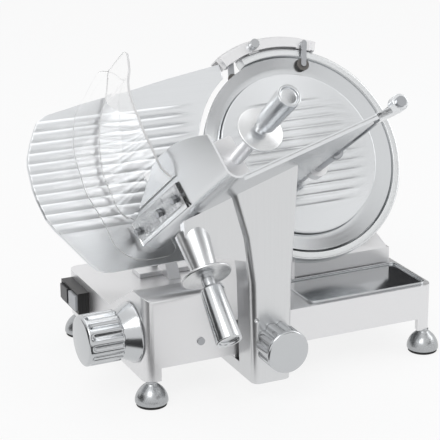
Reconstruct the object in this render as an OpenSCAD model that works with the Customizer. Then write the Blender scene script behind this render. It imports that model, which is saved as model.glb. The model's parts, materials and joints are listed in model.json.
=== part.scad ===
// Electric food slicer with a tilted round blade, a sliding carriage and a gauge plate.
// Millimetres. X runs along the carriage travel, Y from the operator to the back, Z up.
// The origin is the middle of the outline, on the surface that the feet stand on.

/* [Blade] */
// Diameter of the blade
blade_d = 250; // [246:1:251]
// Lean of the blade plane away from the operator, in degrees
tilt = 33.6; // [33:0.1:34.2]
// Blade axis to the middle of the machine, along the travel
blade_x = 104; // [102:0.5:106]
// Height of the blade centre
blade_z = 228.5; // [227:0.5:230]
// Depth of the hollow behind the blade's polished band
blade_dish = 10; // [9:0.5:10.5]
// Width of blade left bare between its edge and the cover
cover_margin = 21.5; // [21:0.5:25]
// Distance between the ribs on the blade cover and on the gauge plate
rib_pitch = 12.5; // [10:0.5:15]
// Height of the ribs
rib_h = 1.4; // [0.8:0.1:1.6]

/* [Guard ring] */
// Gap between the blade's edge and the guard ring
ring_gap = 2.8; // [2.4:0.1:3.2]
// Thickness of the guard ring seen from the front
ring_t = 9.2; // [8.4:0.1:10]
// Depth of the guard ring behind the blade's edge
ring_depth = 16; // [15.5:0.5:17]

/* [Base] */
// Length of the base casting
base_l = 378; // [374:1:384]
// Depth of the base casting from front to back
base_w = 250; // [248:1:254]
// Height of the deck
deck_z = 86; // [85:0.5:88]
// Wall of the base casting
base_wall = 4; // [3.4:0.2:4.4]
// Height of the raised box over the dial
box_z = 129.5; // [126:0.5:132]
// Length of the raised box
box_l = 100; // [96:1:104]
// Height of the lower edge of the side walls
leg_z = 28; // [27:0.5:29]
// Height of the front wall's lower rim, over the carriage foot
rim_z = 43.5; // [42.5:0.5:45]

/* [Feet] */
// Diameter of a foot at the surface
foot_d = 38.5; // [34:0.5:40]
// Thickness of a foot's rubber pad
foot_pad = 3; // [2:0.5:4]

/* [Carriage] */
// Width of the arm at its foot
arm_w = 48; // [46:1:50]
// Height of the arm's front face
arm_h = 270; // [266:1:276]
// Depth of the arm
arm_depth = 38; // [34:1:39]
// Slope of the food table in degrees
table_slope = 15; // [14:0.2:15.4]
// Length of the food table's floor, up the slope
table_l = 171; // [166:1:172]
// Reach of the food table in front of the blade plane
table_reach = 280; // [276:1:283]
// Thickness of the food table's sheet
table_t = 2.5; // [2:0.25:3]
// Greatest height of the food table's end wall
table_wall_h = 72; // [66:1:74]
// Thickness of the clear hand guard
guard_t = 3; // [2.5:0.25:3.25]

/* [Pusher] */
// Diameter of the pusher's guide rod
rod_d = 9; // [8:0.5:9.5]
// Length of the pusher's sleeve
sleeve_l = 76; // [70:1:80]
// Width of the toothed pusher plate
pusher_w = 122; // [118:1:130]
// Height of the toothed pusher plate
pusher_h = 78; // [74:1:82]
// Diameter of a handle's finger disc
disc_d = 57; // [50:1:58]

/* [Gauge plate] */
// Reach of the gauge plate to the left of the blade axis
gauge_l = 345; // [342:1:347]
// Thickness of the gauge plate
gauge_t = 5; // [4:0.5:6]

/* [Thickness dial] */
// Diameter of the fluted knob
knob_d = 59; // [54:1:62]
// Length of the fluted knob
knob_l = 43.5; // [40:0.5:45]
// Diameter of the cone under the knob
dial_d = 71; // [66:1:72]
// Number of flutes on each knob
knob_flutes = 14; // [10:1:16]

/* [Hidden] */
$fn = 64;
// Overrun of every cut, reach of cutting blocks, and the clearances
over = 1;
reach = 900;
fit_gap = 0.05;
seat_gap = 0.3;
screw_gap = 0.4;
body_gap = 0.5;
hull_fn = 32;

// Places in the base
base_x0 = -165;
base_y0 = -56;
base_x1 = base_x0 + base_l;
base_y1 = base_y0 + base_w;
base_r = 12;
leg_w = 20;
box_edge_r = 9;
ridge_y = -23;
ramp_angle = 30;
plate_z = 42;
plate_t = 2;
plate_y0 = 46;
plate_boss_r = 5;
plate_boss_inset = 14;
plate_boss_back = 42;
m5_r = 2.5;
m5_head_r = 4.5;
m5_head_t = 3;

// Feet
foot_in_x = 9;
foot_in_front = 5;
foot_in_back = 13;
foot_neck_d = 13;
stud_r = 4;
stud_l = 26;
leg_boss_r = 10;
leg_boss_h = 34;
foot_shares = [[0.92, 0], [1, 0.06], [1, 0.16], [0.97, 0.3], [0.86, 0.5], [0.66, 0.7],
    [0.46, 0.84], [0.34, 0.93], [0.34, 1]];
foot_at = [for (x = [base_x0 + foot_in_x, base_x1 - foot_in_x],
    y = [base_y0 + foot_in_front, base_y1 - foot_in_back]) [x, y]];

// Carriage rails inside the base
rail_y = 18;
rail_r = 10;
bar_y = -39;
bar_r = 6;
rail_z = 52;
bracket_t = 12;
bracket_h = 24;
block_wall = 6;
block_y0 = base_y0 + base_wall + 3;
block_y1 = rail_y + rail_r + block_wall;
bush_t = 3;
bush_l = 18;

// Carriage arm
arm_x = -50;
arm_y = -100;
arm_z0 = 22;
arm_foot_t = 14;
arm_wall = 5;
arm_r = 9;
arm_shares = [[0, 0, 0], [0.248, -0.04, 0.02], [0.456, -0.083, 0.04], [0.659, -0.25, 0.1],
    [0.863, -0.583, 0.167], [1.12, -1.05, 0.24]];
lock_x = -23;
lock_z = 70;
lock_d = 51;
lock_l = 34;
lock_stud_r = 4;
lock_boss_r = 9;
arm_dimple_r = 3;
arm_dimple_z = 100;

// Carriage handle
hang = 43.4;
handle_x = -117;
handle_y = -122;
handle_z = 169;
handle_l = 75.5;
boss_r = 14;
boss_top_r = 19;
boss_l = 50;
wing_t = 16;
wing_shares = [0.6, 0.3, 1.1];
neck_r = 7.5;
neck_l = 10;
grip_r0 = 12.6;
grip_r1 = 14.75;
grip_dish = 1.2;
grip_hollow_r = 59;
disc_t = 3;
disc_cone = 7;

// Food table, in the frame of its floor
table_x = -191;
table_m = -85;
table_o = 4;
fold_r = 15;
wall_f = -39.5;
table_notch_f = 6;
lip_h = 6;
wall_top_shares = [[0, 0.46], [0.18, 0.66], [0.36, 0.85], [0.5, 0.99], [0.6, 1], [0.72, 0.98],
    [0.88, 0.86], [1, 0.73]];
hold_t = 2;
ear_r = 9.5;
ear_t = 13;
rod_f = 186;
rod_h = 1.2;
rod_tail = 6;
ear_back_t = 8;

// Pusher
sleeve_o = 37;
sleeve_r = 7;
collar_r = 9;
collar_l = 5;
arm_bar_h = 12;
arm_bar_t = 14;
pusher_f = -14;
pusher_o = 42;
pusher_t = 4;
pusher_lift = 2.5;
tooth_h = 5;
tooth_r = 4;
tooth_cols = 8;
tooth_rows = 5;
stem_x = -106;
stem_m = -8.4;
stem_o = 44;
stem_r = 8.5;
stem_rise = 8.6;
stem_turn = 4.6;
pusher_disc_at = 74;
pusher_grip_l = 77;

// Hand guard
guard_w = 290;
guard_h = 130;
guard_o = 8;
guard_reach = 165;
guard_tip_o = 75;
flange_h = 30;
guard_outer_shares = [[-0.769, 0.985], [-0.817, 0.992], [-0.855, 0.908], [-0.897, 0.792],
    [-0.931, 0.708], [-0.962, 0.592], [-0.983, 0.462], [-0.997, 0.323], [-1, 0.185],
    [-0.997, 0.054], [-0.99, -0.115], [-0.972, -0.238], [-0.952, -0.369], [-0.938, -0.485],
    [-0.921, -0.631], [-0.886, -0.731], [-0.845, -0.785], [-0.793, -0.808], [-0.707, -0.8],
    [-0.672, -0.746], [-0.679, -0.677]];
guard_fold_shares = [[-0.835, -0.4], [-0.859, -0.338], [-0.872, -0.269], [-0.883, -0.123],
    [-0.893, 0.023], [-0.886, 0.215], [-0.876, 0.354], [-0.859, 0.492], [-0.835, 0.62],
    [-0.803, 0.754], [-0.769, 0.985]];
guard_edge_shares = [[1.04, 0.44], [0.9, 0.5], [0.7, 0.6], [0.45, 0.75], [0.2, 0.9],
    [0, 0.98], [-0.2, 1], [-0.5, 1], [-0.5, 0], [1.04, 0]];
bolt_r = 3;
bolt_head_r = 5;
bolt_head_t = 3.4;
nut_t = 4.5;
bolt_at = [[24, 20], [24, 96], [24, 146]];

// Blade and its hub
blade_seat_r = 32;
blade_hole_r = 20;
blade_t = 3;
band_w = 19;
blade_form_shares = [0.62, 0.42];
shaft_r = 12.5;
shaft_bore_r = 5.5;
shaft_end_o = -82.6;
hub_t = 5;
pulley_w = 17;
pulley_o = -37;
pulley_r = 34;
belt_t = 3;
belt_w = 12;
motor_pulley_r = 16;
blade_screw_r = 2.5;
blade_screw_head_r = 4.5;
blade_screw_ring = 26;
tie_r = 4;
cover_t = 4;
cover_o = -2.6;
cover_boss_r = 14;
cover_boss_o = -7.5;

// Bearings and the casting that carries the blade
bearing_r = 26;
bearing_w = 15;
bearing_gap = 11;
bearing_o = -42;
casting_front_o = -18;
casting_back_o = -86;
casting_wall = 8;
casting_x0 = -36;
casting_x1 = 97;
casting_head_r = 52;
casting_neck_shares = [[0.98, -1.3], [0.98, -1.03], [0.95, -0.93], [0.9, -0.85], [0.84, -0.76],
    [0.76, -0.66], [0.66, -0.55], [0.57, -0.4], [0.53, -0.2], [0.5, 0]];
casting_left_shares = [0.9, 0.8, 1.3, 0.7];
casting_y0 = 29;
casting_top_z = 108.5;
casting_h = 150;
foot_flange_t = 6;
flange_y1 = 172;

// Motor
motor_x = 20;
motor_m = -92;
motor_r = 41;
motor_o0 = -122;
motor_o1 = -42;
motor_hood_wall = 5;
motor_shaft_r = 5;
cavity_gap = 4;

// Rear knob of the blade cover
cover_knob_r = 18;
cover_knob_l = 20;
tie_tail = 14;

// Slice deflector
deflector_r0 = 48;
deflector_r1 = 121;
deflector_a0 = 128;
deflector_a1 = 214;
deflector_t = 1.5;

// Deck tray
tray_x0 = 48;
tray_y0 = base_y0 + 4;
tray_y1 = casting_y0 - 2.5;
tray_in_x = 6;
tray_rim = 3.4;
tray_t = 1;
tray_r = 10;
tray_rim_w = 2.2;

// Gauge plate
gauge_top = 126;
gauge_arc_gap = 6;
gauge_shares = [[-0.22, 1], [-0.429, 0.913], [-0.557, 0.849], [-0.701, 0.786], [-0.777, 0.754],
    [-0.9, 0.69], [-0.936, 0.635], [-0.95, 0.571], [-0.974, 0.444], [-0.994, 0.31], [-1, 0.23],
    [-1, 0.016], [-0.994, -0.103], [-0.977, -0.294], [-0.954, -0.413], [-0.928, -0.508],
    [-0.867, -0.754], [-0.843, -0.83], [-0.815, -0.865], [-0.79, -0.873], [-0.206, -0.873]];
gauge_back_o = -1.2;
gauge_rib_x0_share = -0.985;
gauge_rib_x1_share = -0.3;
gauge_rib_count = 11;
gauge_rib_m = 73;
gauge_rib_t = 2.2;
gauge_x = -166;
gauge_m = -64;
gauge_rod_r = 8;
gauge_rod_o = -124;
gauge_travel = 15;
gauge_web_t = 8;
gauge_web_h = 22;
sleeve_out_r = 14;
guide_o0 = -112;
guide_o1 = -86;
guide_foot_t = 6;
guide_foot_l = 76;
guide_foot_w = 26;
leg_t = 12;
leg_w2 = 16;
slot_gap = 4;
follow_w = 10;
follow_h = 5;
follow_z = 75.5;
follow_x = -142;
follow_pad_h = 12.5;
follow_gap = 0.8;

// Dial, cam and shaft
dial_y = -19;
dial_z = 78;
dial_l = 20;
shaft2_r = 6;
bush_r = 10;
bush_head_r = 13;
bush_head_t = 2;
cam_r0 = 8;
cam_rise = 12.5;
cam_turn = 330;
cam_step = 10;
cam_t = 14;
cam_x = -144;
knob_flute_r = 3.2;
knob_dome = 2.5;
knob_lip = 3;

// Switch
switch_back = 73;
switch_y0 = base_y1 - switch_back;
switch_w = 60;
switch_z0 = 50;
switch_h = 27;
switch_out = 14;
switch_in = 4;
switch_rim = 2.5;
switch_ridges = 3;
switch_ridge_pitch = 4.5;
button_w = 24;
button_h = 19;
button_out = 3;
button_travel = 2.5;
button_l = 9;

// Power parts
cap_r = 16;
cap_l = 58;
cap_x = -20;
cap_y = 118;
board_x = -118;
board_y = 66;
board_l = 78;
board_w = 56;
board_t = 1.6;
board_post = 4;
relay_l = 28;
relay_w = 14;
relay_h = 12;
gland_back = 68;
gland_y = base_y1 - gland_back;
gland_z = 62;
gland_r = 8;
gland_nut_r = 11;
gland_bore_r = 4;
gland_l = 14;

// Sharpener
sharp_a0 = 67;
sharp_a1 = 120;
sharp_gap = 1.5;
sharp_depth = 17.5;
sharp_o0 = -24;
sharp_o1 = 5;
sharp_chamfer = 7;
sharp_jaw = 3;
grind_pocket = 4;
grind_pin_o = 0.8;
hone_pocket = 4;
pin_r = 3.5;
pin_out = 9;
grind_a = 112;
grind_wheel_a = 119;
grind_wheel_r = 6;
grind_in = 2;
hone_a = 73;
hone_wheel_r = 8;
hone_in = 8;
stone_pin_r = 2;
button_r = 7;
button_t = 6;
clamp_a = 101;
clamp_r = 6;
clamp_t = 8;

// Values that follow from the sizes above
blade_y = 87;
blade_r = blade_d / 2;
cover_d = blade_d - 2 * cover_margin;
ring_r0 = blade_r + ring_gap;
ring_r1 = ring_r0 + ring_t;
sharp_r1 = ring_r1 + sharp_depth;
pin_at_r = ring_r1 + pin_out;
grind_at_r = blade_r - grind_in;
hone_at_r = blade_r - hone_in;
ring_a0 = -120;
ring_a1 = 110;
ring_front = 1.4;
ring_back_t = 4;
ring_back_w = 10;

// Small sizes of single pieces
front_screw_x = -96;
front_screw_z = 68;
m5_l = 12;
casting_bolts = [for (x = [casting_x0 + 2 * casting_wall, casting_x1 - casting_wall],
    y = [casting_y0 + casting_wall, flange_y1 - casting_wall])
    [blade_x + x, y]];
casting_w = 70;
ring_bolt_angles = [-112, -90, -68];
blade_edge = 0.4;
hub_o = -blade_dish - blade_t;
screw_head_t = 2;
belt_ribs = 4;
belt_rib_r = 0.9;
motor_rib = 3;
motor_ribs = 20;
cover_ribs = 7;
rib_w = 2.6;
tie_in = 7;
button_z = switch_z0 + (switch_h - button_h) / 2;
button_ys = [switch_y0 + switch_rim + over, switch_y0 + switch_w - switch_rim - over - button_w];
rod_head_r = 6;
rod_head_t = 2.5;
leg_y = 150;
leg_top = 104;
follow_y = dial_y + cam_r0 + follow_gap;
guide_web = 60;
guide_y = 116;
dial_edge = 2;
button_gap = 3.5;
stone_arm_t = 4;
stone_t = 3.1;
grind_arm_o = -14;
hone_arm_o = 4.6;
hone_arm_t = 1.8;
hone_t = 1.4;

// Frames
module at_blade() translate([blade_x, blade_y, blade_z]) rotate([90 - tilt, 0, 0]) children();
module at_table() at_blade() translate([table_x, table_m, 0]) rotate([0, 0, table_slope]) children();
module at_handle() translate([handle_x, handle_y, handle_z]) rotate([90 + hang, 0, 0]) children();
module at_stem() at_blade() translate([stem_x, stem_m, stem_o]) rotate([-stem_rise, stem_turn, 0])
    children();
module along_x() rotate([90, 0, 90]) children();
module polar(r, a) translate([r * cos(a), r * sin(a), 0]) children();

function arc(cx, cy, r, a0, a1, n) = [for (i = [0:n]) let (a = a0 + (a1 - a0) * i / n)
    [cx + r * cos(a), cy + r * sin(a)]];
function scaled(pts, sx, sy) = [for (p = pts) [p[0] * sx, p[1] * sy]];
function normal_at(pts, i) = let (a = pts[max(i - 1, 0)], b = pts[min(i + 1, len(pts) - 1)],
    d = b - a, n = norm(d)) [-d[1] / n, d[0] / n];
function strip(pts, t) = concat(pts, [for (i = [len(pts) - 1:-1:0]) pts[i] + t * normal_at(pts, i)]);

module rrect(l, w, r) {
    translate([r, 0]) square([l - 2 * r, w]);
    translate([0, r]) square([l, w - 2 * r]);
    for (x = [r, l - r], y = [r, w - r]) translate([x, y]) circle(r);
}

module belt_loop(r1, r2, x2, y2) {
    d = norm([x2, y2]);
    f = atan2(y2, x2);
    b = acos((r1 - r2) / d);
    circle(r1);
    translate([x2, y2]) circle(r2);
    q1 = r1 - fit_gap;
    q2 = r2 - fit_gap;
    polygon([[q1 * cos(f + b), q1 * sin(f + b)], [x2 + q2 * cos(f + b), y2 + q2 * sin(f + b)],
        [x2 + q2 * cos(f - b), y2 + q2 * sin(f - b)], [q1 * cos(f - b), q1 * sin(f - b)]]);
}

module fluted(d, l, flutes, dome, lip) difference() {
    rotate_extrude() polygon(concat([[0, 0], [d / 2, 0], [d / 2, l - dome]],
        [[d / 2 - dome, l - dome / 4], [0, l]]));
    for (i = [0:flutes - 1]) rotate([0, 0, 360 * i / flutes])
        translate([d / 2 + knob_flute_r / 2, 0, -over])
            cylinder(r = knob_flute_r, h = l - lip - dome + over);
}

// Base
module box_profile(w, low) polygon(concat([[base_y0 + w, low]],
    arc(base_y0 + box_edge_r, box_z - box_edge_r, box_edge_r - w, 180, 90, 6),
    [[ridge_y - w * tan(ramp_angle / 2), box_z - w],
    [ridge_y + (box_z - deck_z) / tan(ramp_angle) - w * tan(ramp_angle / 2), deck_z - w],
    [base_y1 - w, deck_z - w], [base_y1 - w, low]]));

module base_solid(w, low) intersection() {
    translate([base_x0 + w, base_y0 + w, low]) linear_extrude(box_z)
        rrect(base_l - 2 * w, base_w - 2 * w, base_r - w);
    union() {
        translate([base_x0, base_y0, low]) cube([base_l, base_w, deck_z - w - low]);
        translate([base_x0 + w, 0, 0]) along_x() linear_extrude(box_l - 2 * w) box_profile(w, low);
    }
}

module base_housing() color("silver") difference() {
    union() {
        difference() {
            base_solid(0, leg_z);
            base_solid(base_wall, leg_z - over);
            translate([base_x0 + leg_w, base_y0 - over, leg_z - over])
                cube([base_l - 2 * leg_w, base_wall + 2 * over, rim_z - leg_z + over]);
        }
        intersection() {
            for (p = foot_at) translate([p[0], p[1], leg_z]) cylinder(r = leg_boss_r, h = leg_boss_h);
            base_solid(0, leg_z);
        }
        for (x = [base_x0 + plate_boss_inset, base_x1 - plate_boss_inset],
            y = [plate_y0 + plate_boss_inset, base_y1 - plate_boss_back])
            translate([x, y, plate_z + plate_t])
                cylinder(r = plate_boss_r, h = deck_z - base_wall - plate_z - plate_t);
    }
    for (p = foot_at) translate([p[0], p[1], leg_z - over]) cylinder(r = stud_r, h = stud_l + over);
    // Opening under the blade casting for the motor
    translate([blade_x + motor_x - motor_r - cavity_gap, casting_y0 + casting_wall,
        deck_z - base_wall - over])
        cube([2 * (motor_r + cavity_gap), flange_y1 - casting_y0 - 3 * casting_wall, base_wall + 2 * over]);
    // Slot for the gauge plate's leg
    translate([blade_x + gauge_x - leg_w2 / 2 - slot_gap, leg_y - slot_gap, deck_z - base_wall - over])
        cube([leg_w2 + 2 * slot_gap, leg_t + gauge_travel + 2 * slot_gap, base_wall + 2 * over]);
    // Dial bushing, switch and cable gland
    translate([base_x0 - over, dial_y, dial_z]) rotate([0, 90, 0])
        cylinder(r = bush_r, h = base_wall + 2 * over);
    translate([base_x0 - over, switch_y0 + switch_rim, switch_z0 + switch_rim])
        cube([base_wall + 2 * over, switch_w - 2 * switch_rim, switch_h - 2 * switch_rim]);
    translate([base_x1 + over, gland_y, gland_z]) rotate([0, -90, 0])
        cylinder(r = gland_r, h = base_wall + 2 * over);
    // Front wall screw and the four tapped plate bosses
    translate([front_screw_x, base_y0 - over, front_screw_z]) rotate([-90, 0, 0])
        cylinder(r = m5_r, h = base_wall + 2 * over);
    for (x = [base_x0 + plate_boss_inset, base_x1 - plate_boss_inset],
        y = [plate_y0 + plate_boss_inset, base_y1 - plate_boss_back])
        translate([x, y, plate_z + plate_t - over]) cylinder(r = m5_r, h = m5_l + over);
    for (p = casting_bolts) translate([p[0], p[1], deck_z - base_wall - over])
        cylinder(r = m5_r, h = base_wall + 2 * over);
}

module bottom_plate() color("gainsboro") difference() {
    translate([base_x0 + base_wall + body_gap, plate_y0, plate_z])
        cube([base_l - 2 * (base_wall + body_gap), base_w + base_y0 - base_wall - body_gap - plate_y0,
            plate_t]);
    for (p = foot_at) translate([p[0], p[1], plate_z - over])
        cylinder(r = leg_boss_r + body_gap, h = plate_t + 2 * over);
    for (x = [base_x0, base_x1 - base_r], y = [base_y1 - base_r])
        translate([x, y, plate_z - over]) cube([base_r, base_r, plate_t + 2 * over]);
    for (x = [base_x0 + plate_boss_inset, base_x1 - plate_boss_inset],
        y = [plate_y0 + plate_boss_inset, base_y1 - plate_boss_back])
        translate([x, y, plate_z - over]) cylinder(r = m5_r, h = plate_t + 2 * over);
}

module housing_screws() color("dimgray") {
    for (x = [base_x0 + plate_boss_inset, base_x1 - plate_boss_inset],
        y = [plate_y0 + plate_boss_inset, base_y1 - plate_boss_back])
        translate([x, y, plate_z - m5_head_t]) {
            cylinder(r = m5_head_r, h = m5_head_t);
            cylinder(r = m5_r - fit_gap, h = m5_head_t + plate_t + m5_l - over);
        }
    translate([front_screw_x, base_y0, front_screw_z]) rotate([90, 0, 0]) {
        cylinder(r = m5_head_r, h = m5_head_t / 2);
        translate([0, 0, -base_wall - over]) cylinder(r = m5_r - fit_gap, h = base_wall + over);
    }
}

module feet() color("silver") for (p = foot_at) translate([p[0], p[1], foot_pad]) difference() {
    rotate_extrude() polygon(concat([[0, 0]],
        [for (s = foot_shares) [s[0] * foot_d / 2, s[1] * (leg_z - foot_pad)]],
        [[0, leg_z - foot_pad]]));
    translate([0, 0, (leg_z - foot_pad) / 2]) cylinder(r = stud_r, h = leg_z);
}

module foot_pads() color("black") for (p = foot_at) translate([p[0], p[1], 0])
    cylinder(d = foot_d * foot_shares[0][0], h = foot_pad);

module foot_studs() color("darkgray") for (p = foot_at)
    translate([p[0], p[1], foot_pad + (leg_z - foot_pad) / 2]) cylinder(r = stud_r - fit_gap, h = stud_l);

module deck_tray() color("lightgray") translate([tray_x0, tray_y0, deck_z]) difference() {
    linear_extrude(tray_rim) rrect(base_x1 - tray_in_x - tray_x0, tray_y1 - tray_y0, tray_r);
    translate([tray_rim_w, tray_rim_w, tray_t]) linear_extrude(tray_rim)
        rrect(base_x1 - tray_in_x - tray_x0 - 2 * tray_rim_w, tray_y1 - tray_y0 - 2 * tray_rim_w,
            tray_r - tray_rim_w);
}

// Casting that carries the blade, with its foot on the deck

module casting_outline() {
    circle(casting_head_r);
    polygon(concat(scaled(casting_neck_shares, casting_x1, ring_r1),
        [[-casting_head_r * casting_left_shares[3], 0],
            [-casting_head_r * casting_left_shares[0], -casting_head_r],
        [casting_x0 + over, -ring_r1 * casting_left_shares[1]],
            [casting_x0 + over, -ring_r1 * casting_left_shares[2]]]));
}

module motor_space(gap) translate([motor_x, motor_m, 0]) translate([0, 0, motor_o0 - gap])
    cylinder(r = motor_r + gap, h = motor_o1 - motor_o0 + 2 * gap);

module blade_pedestal() color("silver") difference() {
    union() {
        intersection() {
            at_blade() translate([0, 0, casting_back_o]) linear_extrude(casting_front_o - casting_back_o)
                casting_outline();
            translate([-reach / 2, casting_y0, deck_z]) cube(reach);
        }
        intersection() {
            translate([blade_x + casting_x0, casting_y0, deck_z])
                cube([casting_x1 - casting_x0, casting_w, casting_top_z - deck_z]);
            at_blade() translate([-reach / 2, -reach / 2, -reach + casting_front_o]) cube(reach);
        }
        intersection() {
            at_blade() motor_space(cavity_gap + motor_hood_wall);
            translate([-reach / 2, 0, deck_z]) cube(reach);
            at_blade() translate([-reach / 2, -reach / 2, -reach + casting_front_o]) cube(reach);
        }
        translate([blade_x + casting_x0, casting_y0, deck_z])
            linear_extrude(foot_flange_t) rrect(casting_x1 - casting_x0, flange_y1 - casting_y0,
                casting_wall);
    }
    at_blade() {
        motor_space(cavity_gap);
        // Belt chamber, open towards the blade
        translate([0, 0, pulley_o - cavity_gap])
            linear_extrude(casting_front_o - pulley_o + cavity_gap + over)
            belt_loop(pulley_r + belt_t + cavity_gap, motor_pulley_r + belt_t + cavity_gap, motor_x,
                motor_m);
        // Bearing seats, the bore between them and the tie rod's hole
        translate([0, 0, bearing_o - 2 * bearing_w - bearing_gap])
            cylinder(r = bearing_r + fit_gap, h = bearing_w);
        translate([0, 0, bearing_o - bearing_w])
            cylinder(r = bearing_r + fit_gap, h = bearing_w + cavity_gap);
        translate([0, 0, bearing_o - 2 * bearing_w])
            cylinder(r = bearing_r - casting_wall / 2, h = bearing_w + 2 * over + bearing_gap);
        translate([0, 0, casting_back_o - over]) cylinder(r = tie_r + screw_gap, h = bearing_w);
    }
    for (p = casting_bolts) translate([p[0], p[1], deck_z - over]) cylinder(r = m5_r, h = m5_l + over);
}

module pedestal_screws() color("dimgray") for (p = casting_bolts)
    translate([p[0], p[1], deck_z - base_wall - m5_head_t]) {
        cylinder(r = m5_head_r, h = m5_head_t);
        cylinder(r = m5_r - fit_gap, h = m5_head_t + base_wall + m5_l - over);
    }

// Guard ring, open on the cutting side
module ring_guard() color("silver") at_blade() difference() {
    rotate([0, 0, ring_a0]) rotate_extrude(angle = ring_a1 - ring_a0) polygon([
        [ring_r0, ring_front - over], [ring_r0 + over, ring_front], [ring_r1 - over, ring_front],
        [ring_r1, ring_front - over], [ring_r1, -ring_depth - over], [ring_r1 - over, casting_front_o],
        [ring_r0 - ring_back_w, casting_front_o], [ring_r0 - ring_back_w, casting_front_o + ring_back_t],
        [ring_r0, casting_front_o + ring_back_t]]);
    for (a = ring_bolt_angles) polar(ring_r0 - ring_back_w / 2, a) translate([0, 0, casting_front_o - over])
        cylinder(r = m5_r, h = ring_back_t + 2 * over);
}

// Blade, cover and hub
module blade() color("lightgray") at_blade() difference() {
    rotate_extrude() polygon([[blade_hole_r, -blade_dish], [blade_seat_r + 2 * blade_t, -blade_dish],
        [blade_r - 2 * band_w, -blade_dish * blade_form_shares[0]],
            [blade_r - band_w, -blade_dish * blade_form_shares[1]], [blade_r, 0],
        [blade_r, -blade_edge], [blade_r - band_w / 4, -blade_t],
            [blade_r - band_w, -blade_dish * blade_form_shares[1] - blade_t],
        [blade_r - 2 * band_w, -blade_dish * blade_form_shares[0] - blade_t],
        [blade_seat_r + 2 * blade_t, -blade_dish - blade_t], [blade_hole_r, -blade_dish - blade_t]]);
    for (a = [45:90:315]) polar(blade_screw_ring, a) {
        translate([0, 0, -blade_dish - blade_t - over])
            cylinder(r = blade_screw_r + fit_gap, h = blade_t + 2 * over);
    }
}

module blade_screws() color("dimgray") at_blade() for (a = [45:90:315]) polar(blade_screw_ring, a) {
    translate([0, 0, -blade_dish]) cylinder(r1 = blade_screw_head_r, r2 = blade_screw_r, h = screw_head_t);
    translate([0, 0, hub_o - hub_t + over]) cylinder(r = blade_screw_r, h = blade_t + hub_t - over);
}

module blade_shaft() color("gray") at_blade() difference() {
    union() {
        translate([0, 0, shaft_end_o]) cylinder(r = shaft_r, h = hub_o + blade_t - shaft_end_o - over);
        translate([0, 0, hub_o - hub_t]) cylinder(r = blade_seat_r, h = hub_t);
        translate([0, 0, hub_o - over]) cylinder(r = blade_hole_r - fit_gap, h = blade_t);
    }
    translate([0, 0, shaft_end_o - over]) cylinder(r = shaft_bore_r, h = -shaft_end_o + over);
    for (a = [45:90:315]) polar(blade_screw_ring, a) translate([0, 0, hub_o - hub_t - over])
        cylinder(r = blade_screw_r + fit_gap, h = hub_t + 2 * over);
}

module blade_pulley() color("dimgray") at_blade() difference() {
    translate([0, 0, pulley_o]) cylinder(r = pulley_r, h = pulley_w);
    translate([0, 0, pulley_o - over]) cylinder(r = shaft_r + fit_gap, h = pulley_w + 2 * over);
    for (i = [0:belt_ribs - 1]) translate([0, 0, pulley_o + (pulley_w - belt_w) / 2 + (i + 0.5)
        * belt_w / belt_ribs])
        rotate_extrude() translate([pulley_r, 0]) circle(r = belt_rib_r);
}

module motor_pulley() color("gray") at_blade() translate([motor_x, motor_m, 0]) {
    translate([0, 0, pulley_o]) difference() {
        cylinder(r = motor_pulley_r, h = pulley_w);
        for (i = [0:belt_ribs - 1]) translate([0, 0, (pulley_w - belt_w) / 2 + (i + 0.5)
            * belt_w / belt_ribs])
            rotate_extrude() translate([motor_pulley_r, 0]) circle(r = belt_rib_r);
    }
    translate([0, 0, motor_o0 + motor_r]) cylinder(r = motor_shaft_r, h = pulley_o - motor_o0 - motor_r);
}

module motor() color("dimgray") at_blade() translate([motor_x, motor_m, motor_o0]) difference() {
    union() {
        cylinder(r = motor_r - motor_rib, h = motor_o1 - motor_o0);
        for (i = [0:motor_ribs - 1]) rotate([0, 0, 360 * i / motor_ribs])
            translate([0, -motor_rib / 2, motor_rib])
                cube([motor_r - over, motor_rib, motor_o1 - motor_o0 - 2 * motor_rib]);
    }
    translate([0, 0, motor_r - over]) cylinder(r = motor_shaft_r + fit_gap, h = motor_o1 - motor_o0);
}

module drive_belt() color("black") at_blade() translate([0, 0, pulley_o + (pulley_w - belt_w) / 2])
    linear_extrude(belt_w)
    difference() {
        belt_loop(pulley_r + seat_gap + belt_t, motor_pulley_r + seat_gap + belt_t, motor_x, motor_m);
        belt_loop(pulley_r + seat_gap, motor_pulley_r + seat_gap, motor_x, motor_m);
    }

module hub_bearings() color("darkgray") at_blade()
    for (o = [bearing_o - bearing_w, bearing_o - 2 * bearing_w - bearing_gap])
    translate([0, 0, o]) difference() {
        cylinder(r = bearing_r, h = bearing_w);
        translate([0, 0, -over]) cylinder(r = shaft_r + fit_gap, h = bearing_w + 2 * over);
    }

module blade_cover() color("silver") at_blade() difference() {
    union() {
        translate([0, 0, cover_o]) cylinder(r = cover_d / 2, h = cover_t);
        translate([0, 0, cover_boss_o]) cylinder(r = cover_boss_r, h = cover_o - cover_boss_o + over);
        intersection() {
            translate([0, 0, cover_o]) cylinder(r = cover_d / 2 - cover_t, h = cover_t + rib_h);
            for (i = [-cover_ribs:cover_ribs])
                translate([-cover_d, i * rib_pitch - rib_w / 2, cover_o + over])
                cube([2 * cover_d, rib_w, cover_t + rib_h - over]);
        }
    }
    translate([0, 0, cover_boss_o - over]) cylinder(r = tie_r + fit_gap, h = tie_in + over);
}

module cover_tie_rod() color("gray") at_blade()
    translate([0, 0, casting_back_o - cover_knob_l - tie_tail / 2])
    cylinder(r = tie_r, h = cover_boss_o + tie_in - casting_back_o + cover_knob_l + tie_tail / 2 - over);

module cover_knob() color("black") at_blade() translate([0, 0, casting_back_o - seat_gap])
    mirror([0, 0, 1]) difference() {
    fluted(2 * cover_knob_r, cover_knob_l, knob_flutes, knob_dome, knob_lip);
    translate([0, 0, -over]) cylinder(r = tie_r + fit_gap, h = cover_knob_l + 2 * over);
}

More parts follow.
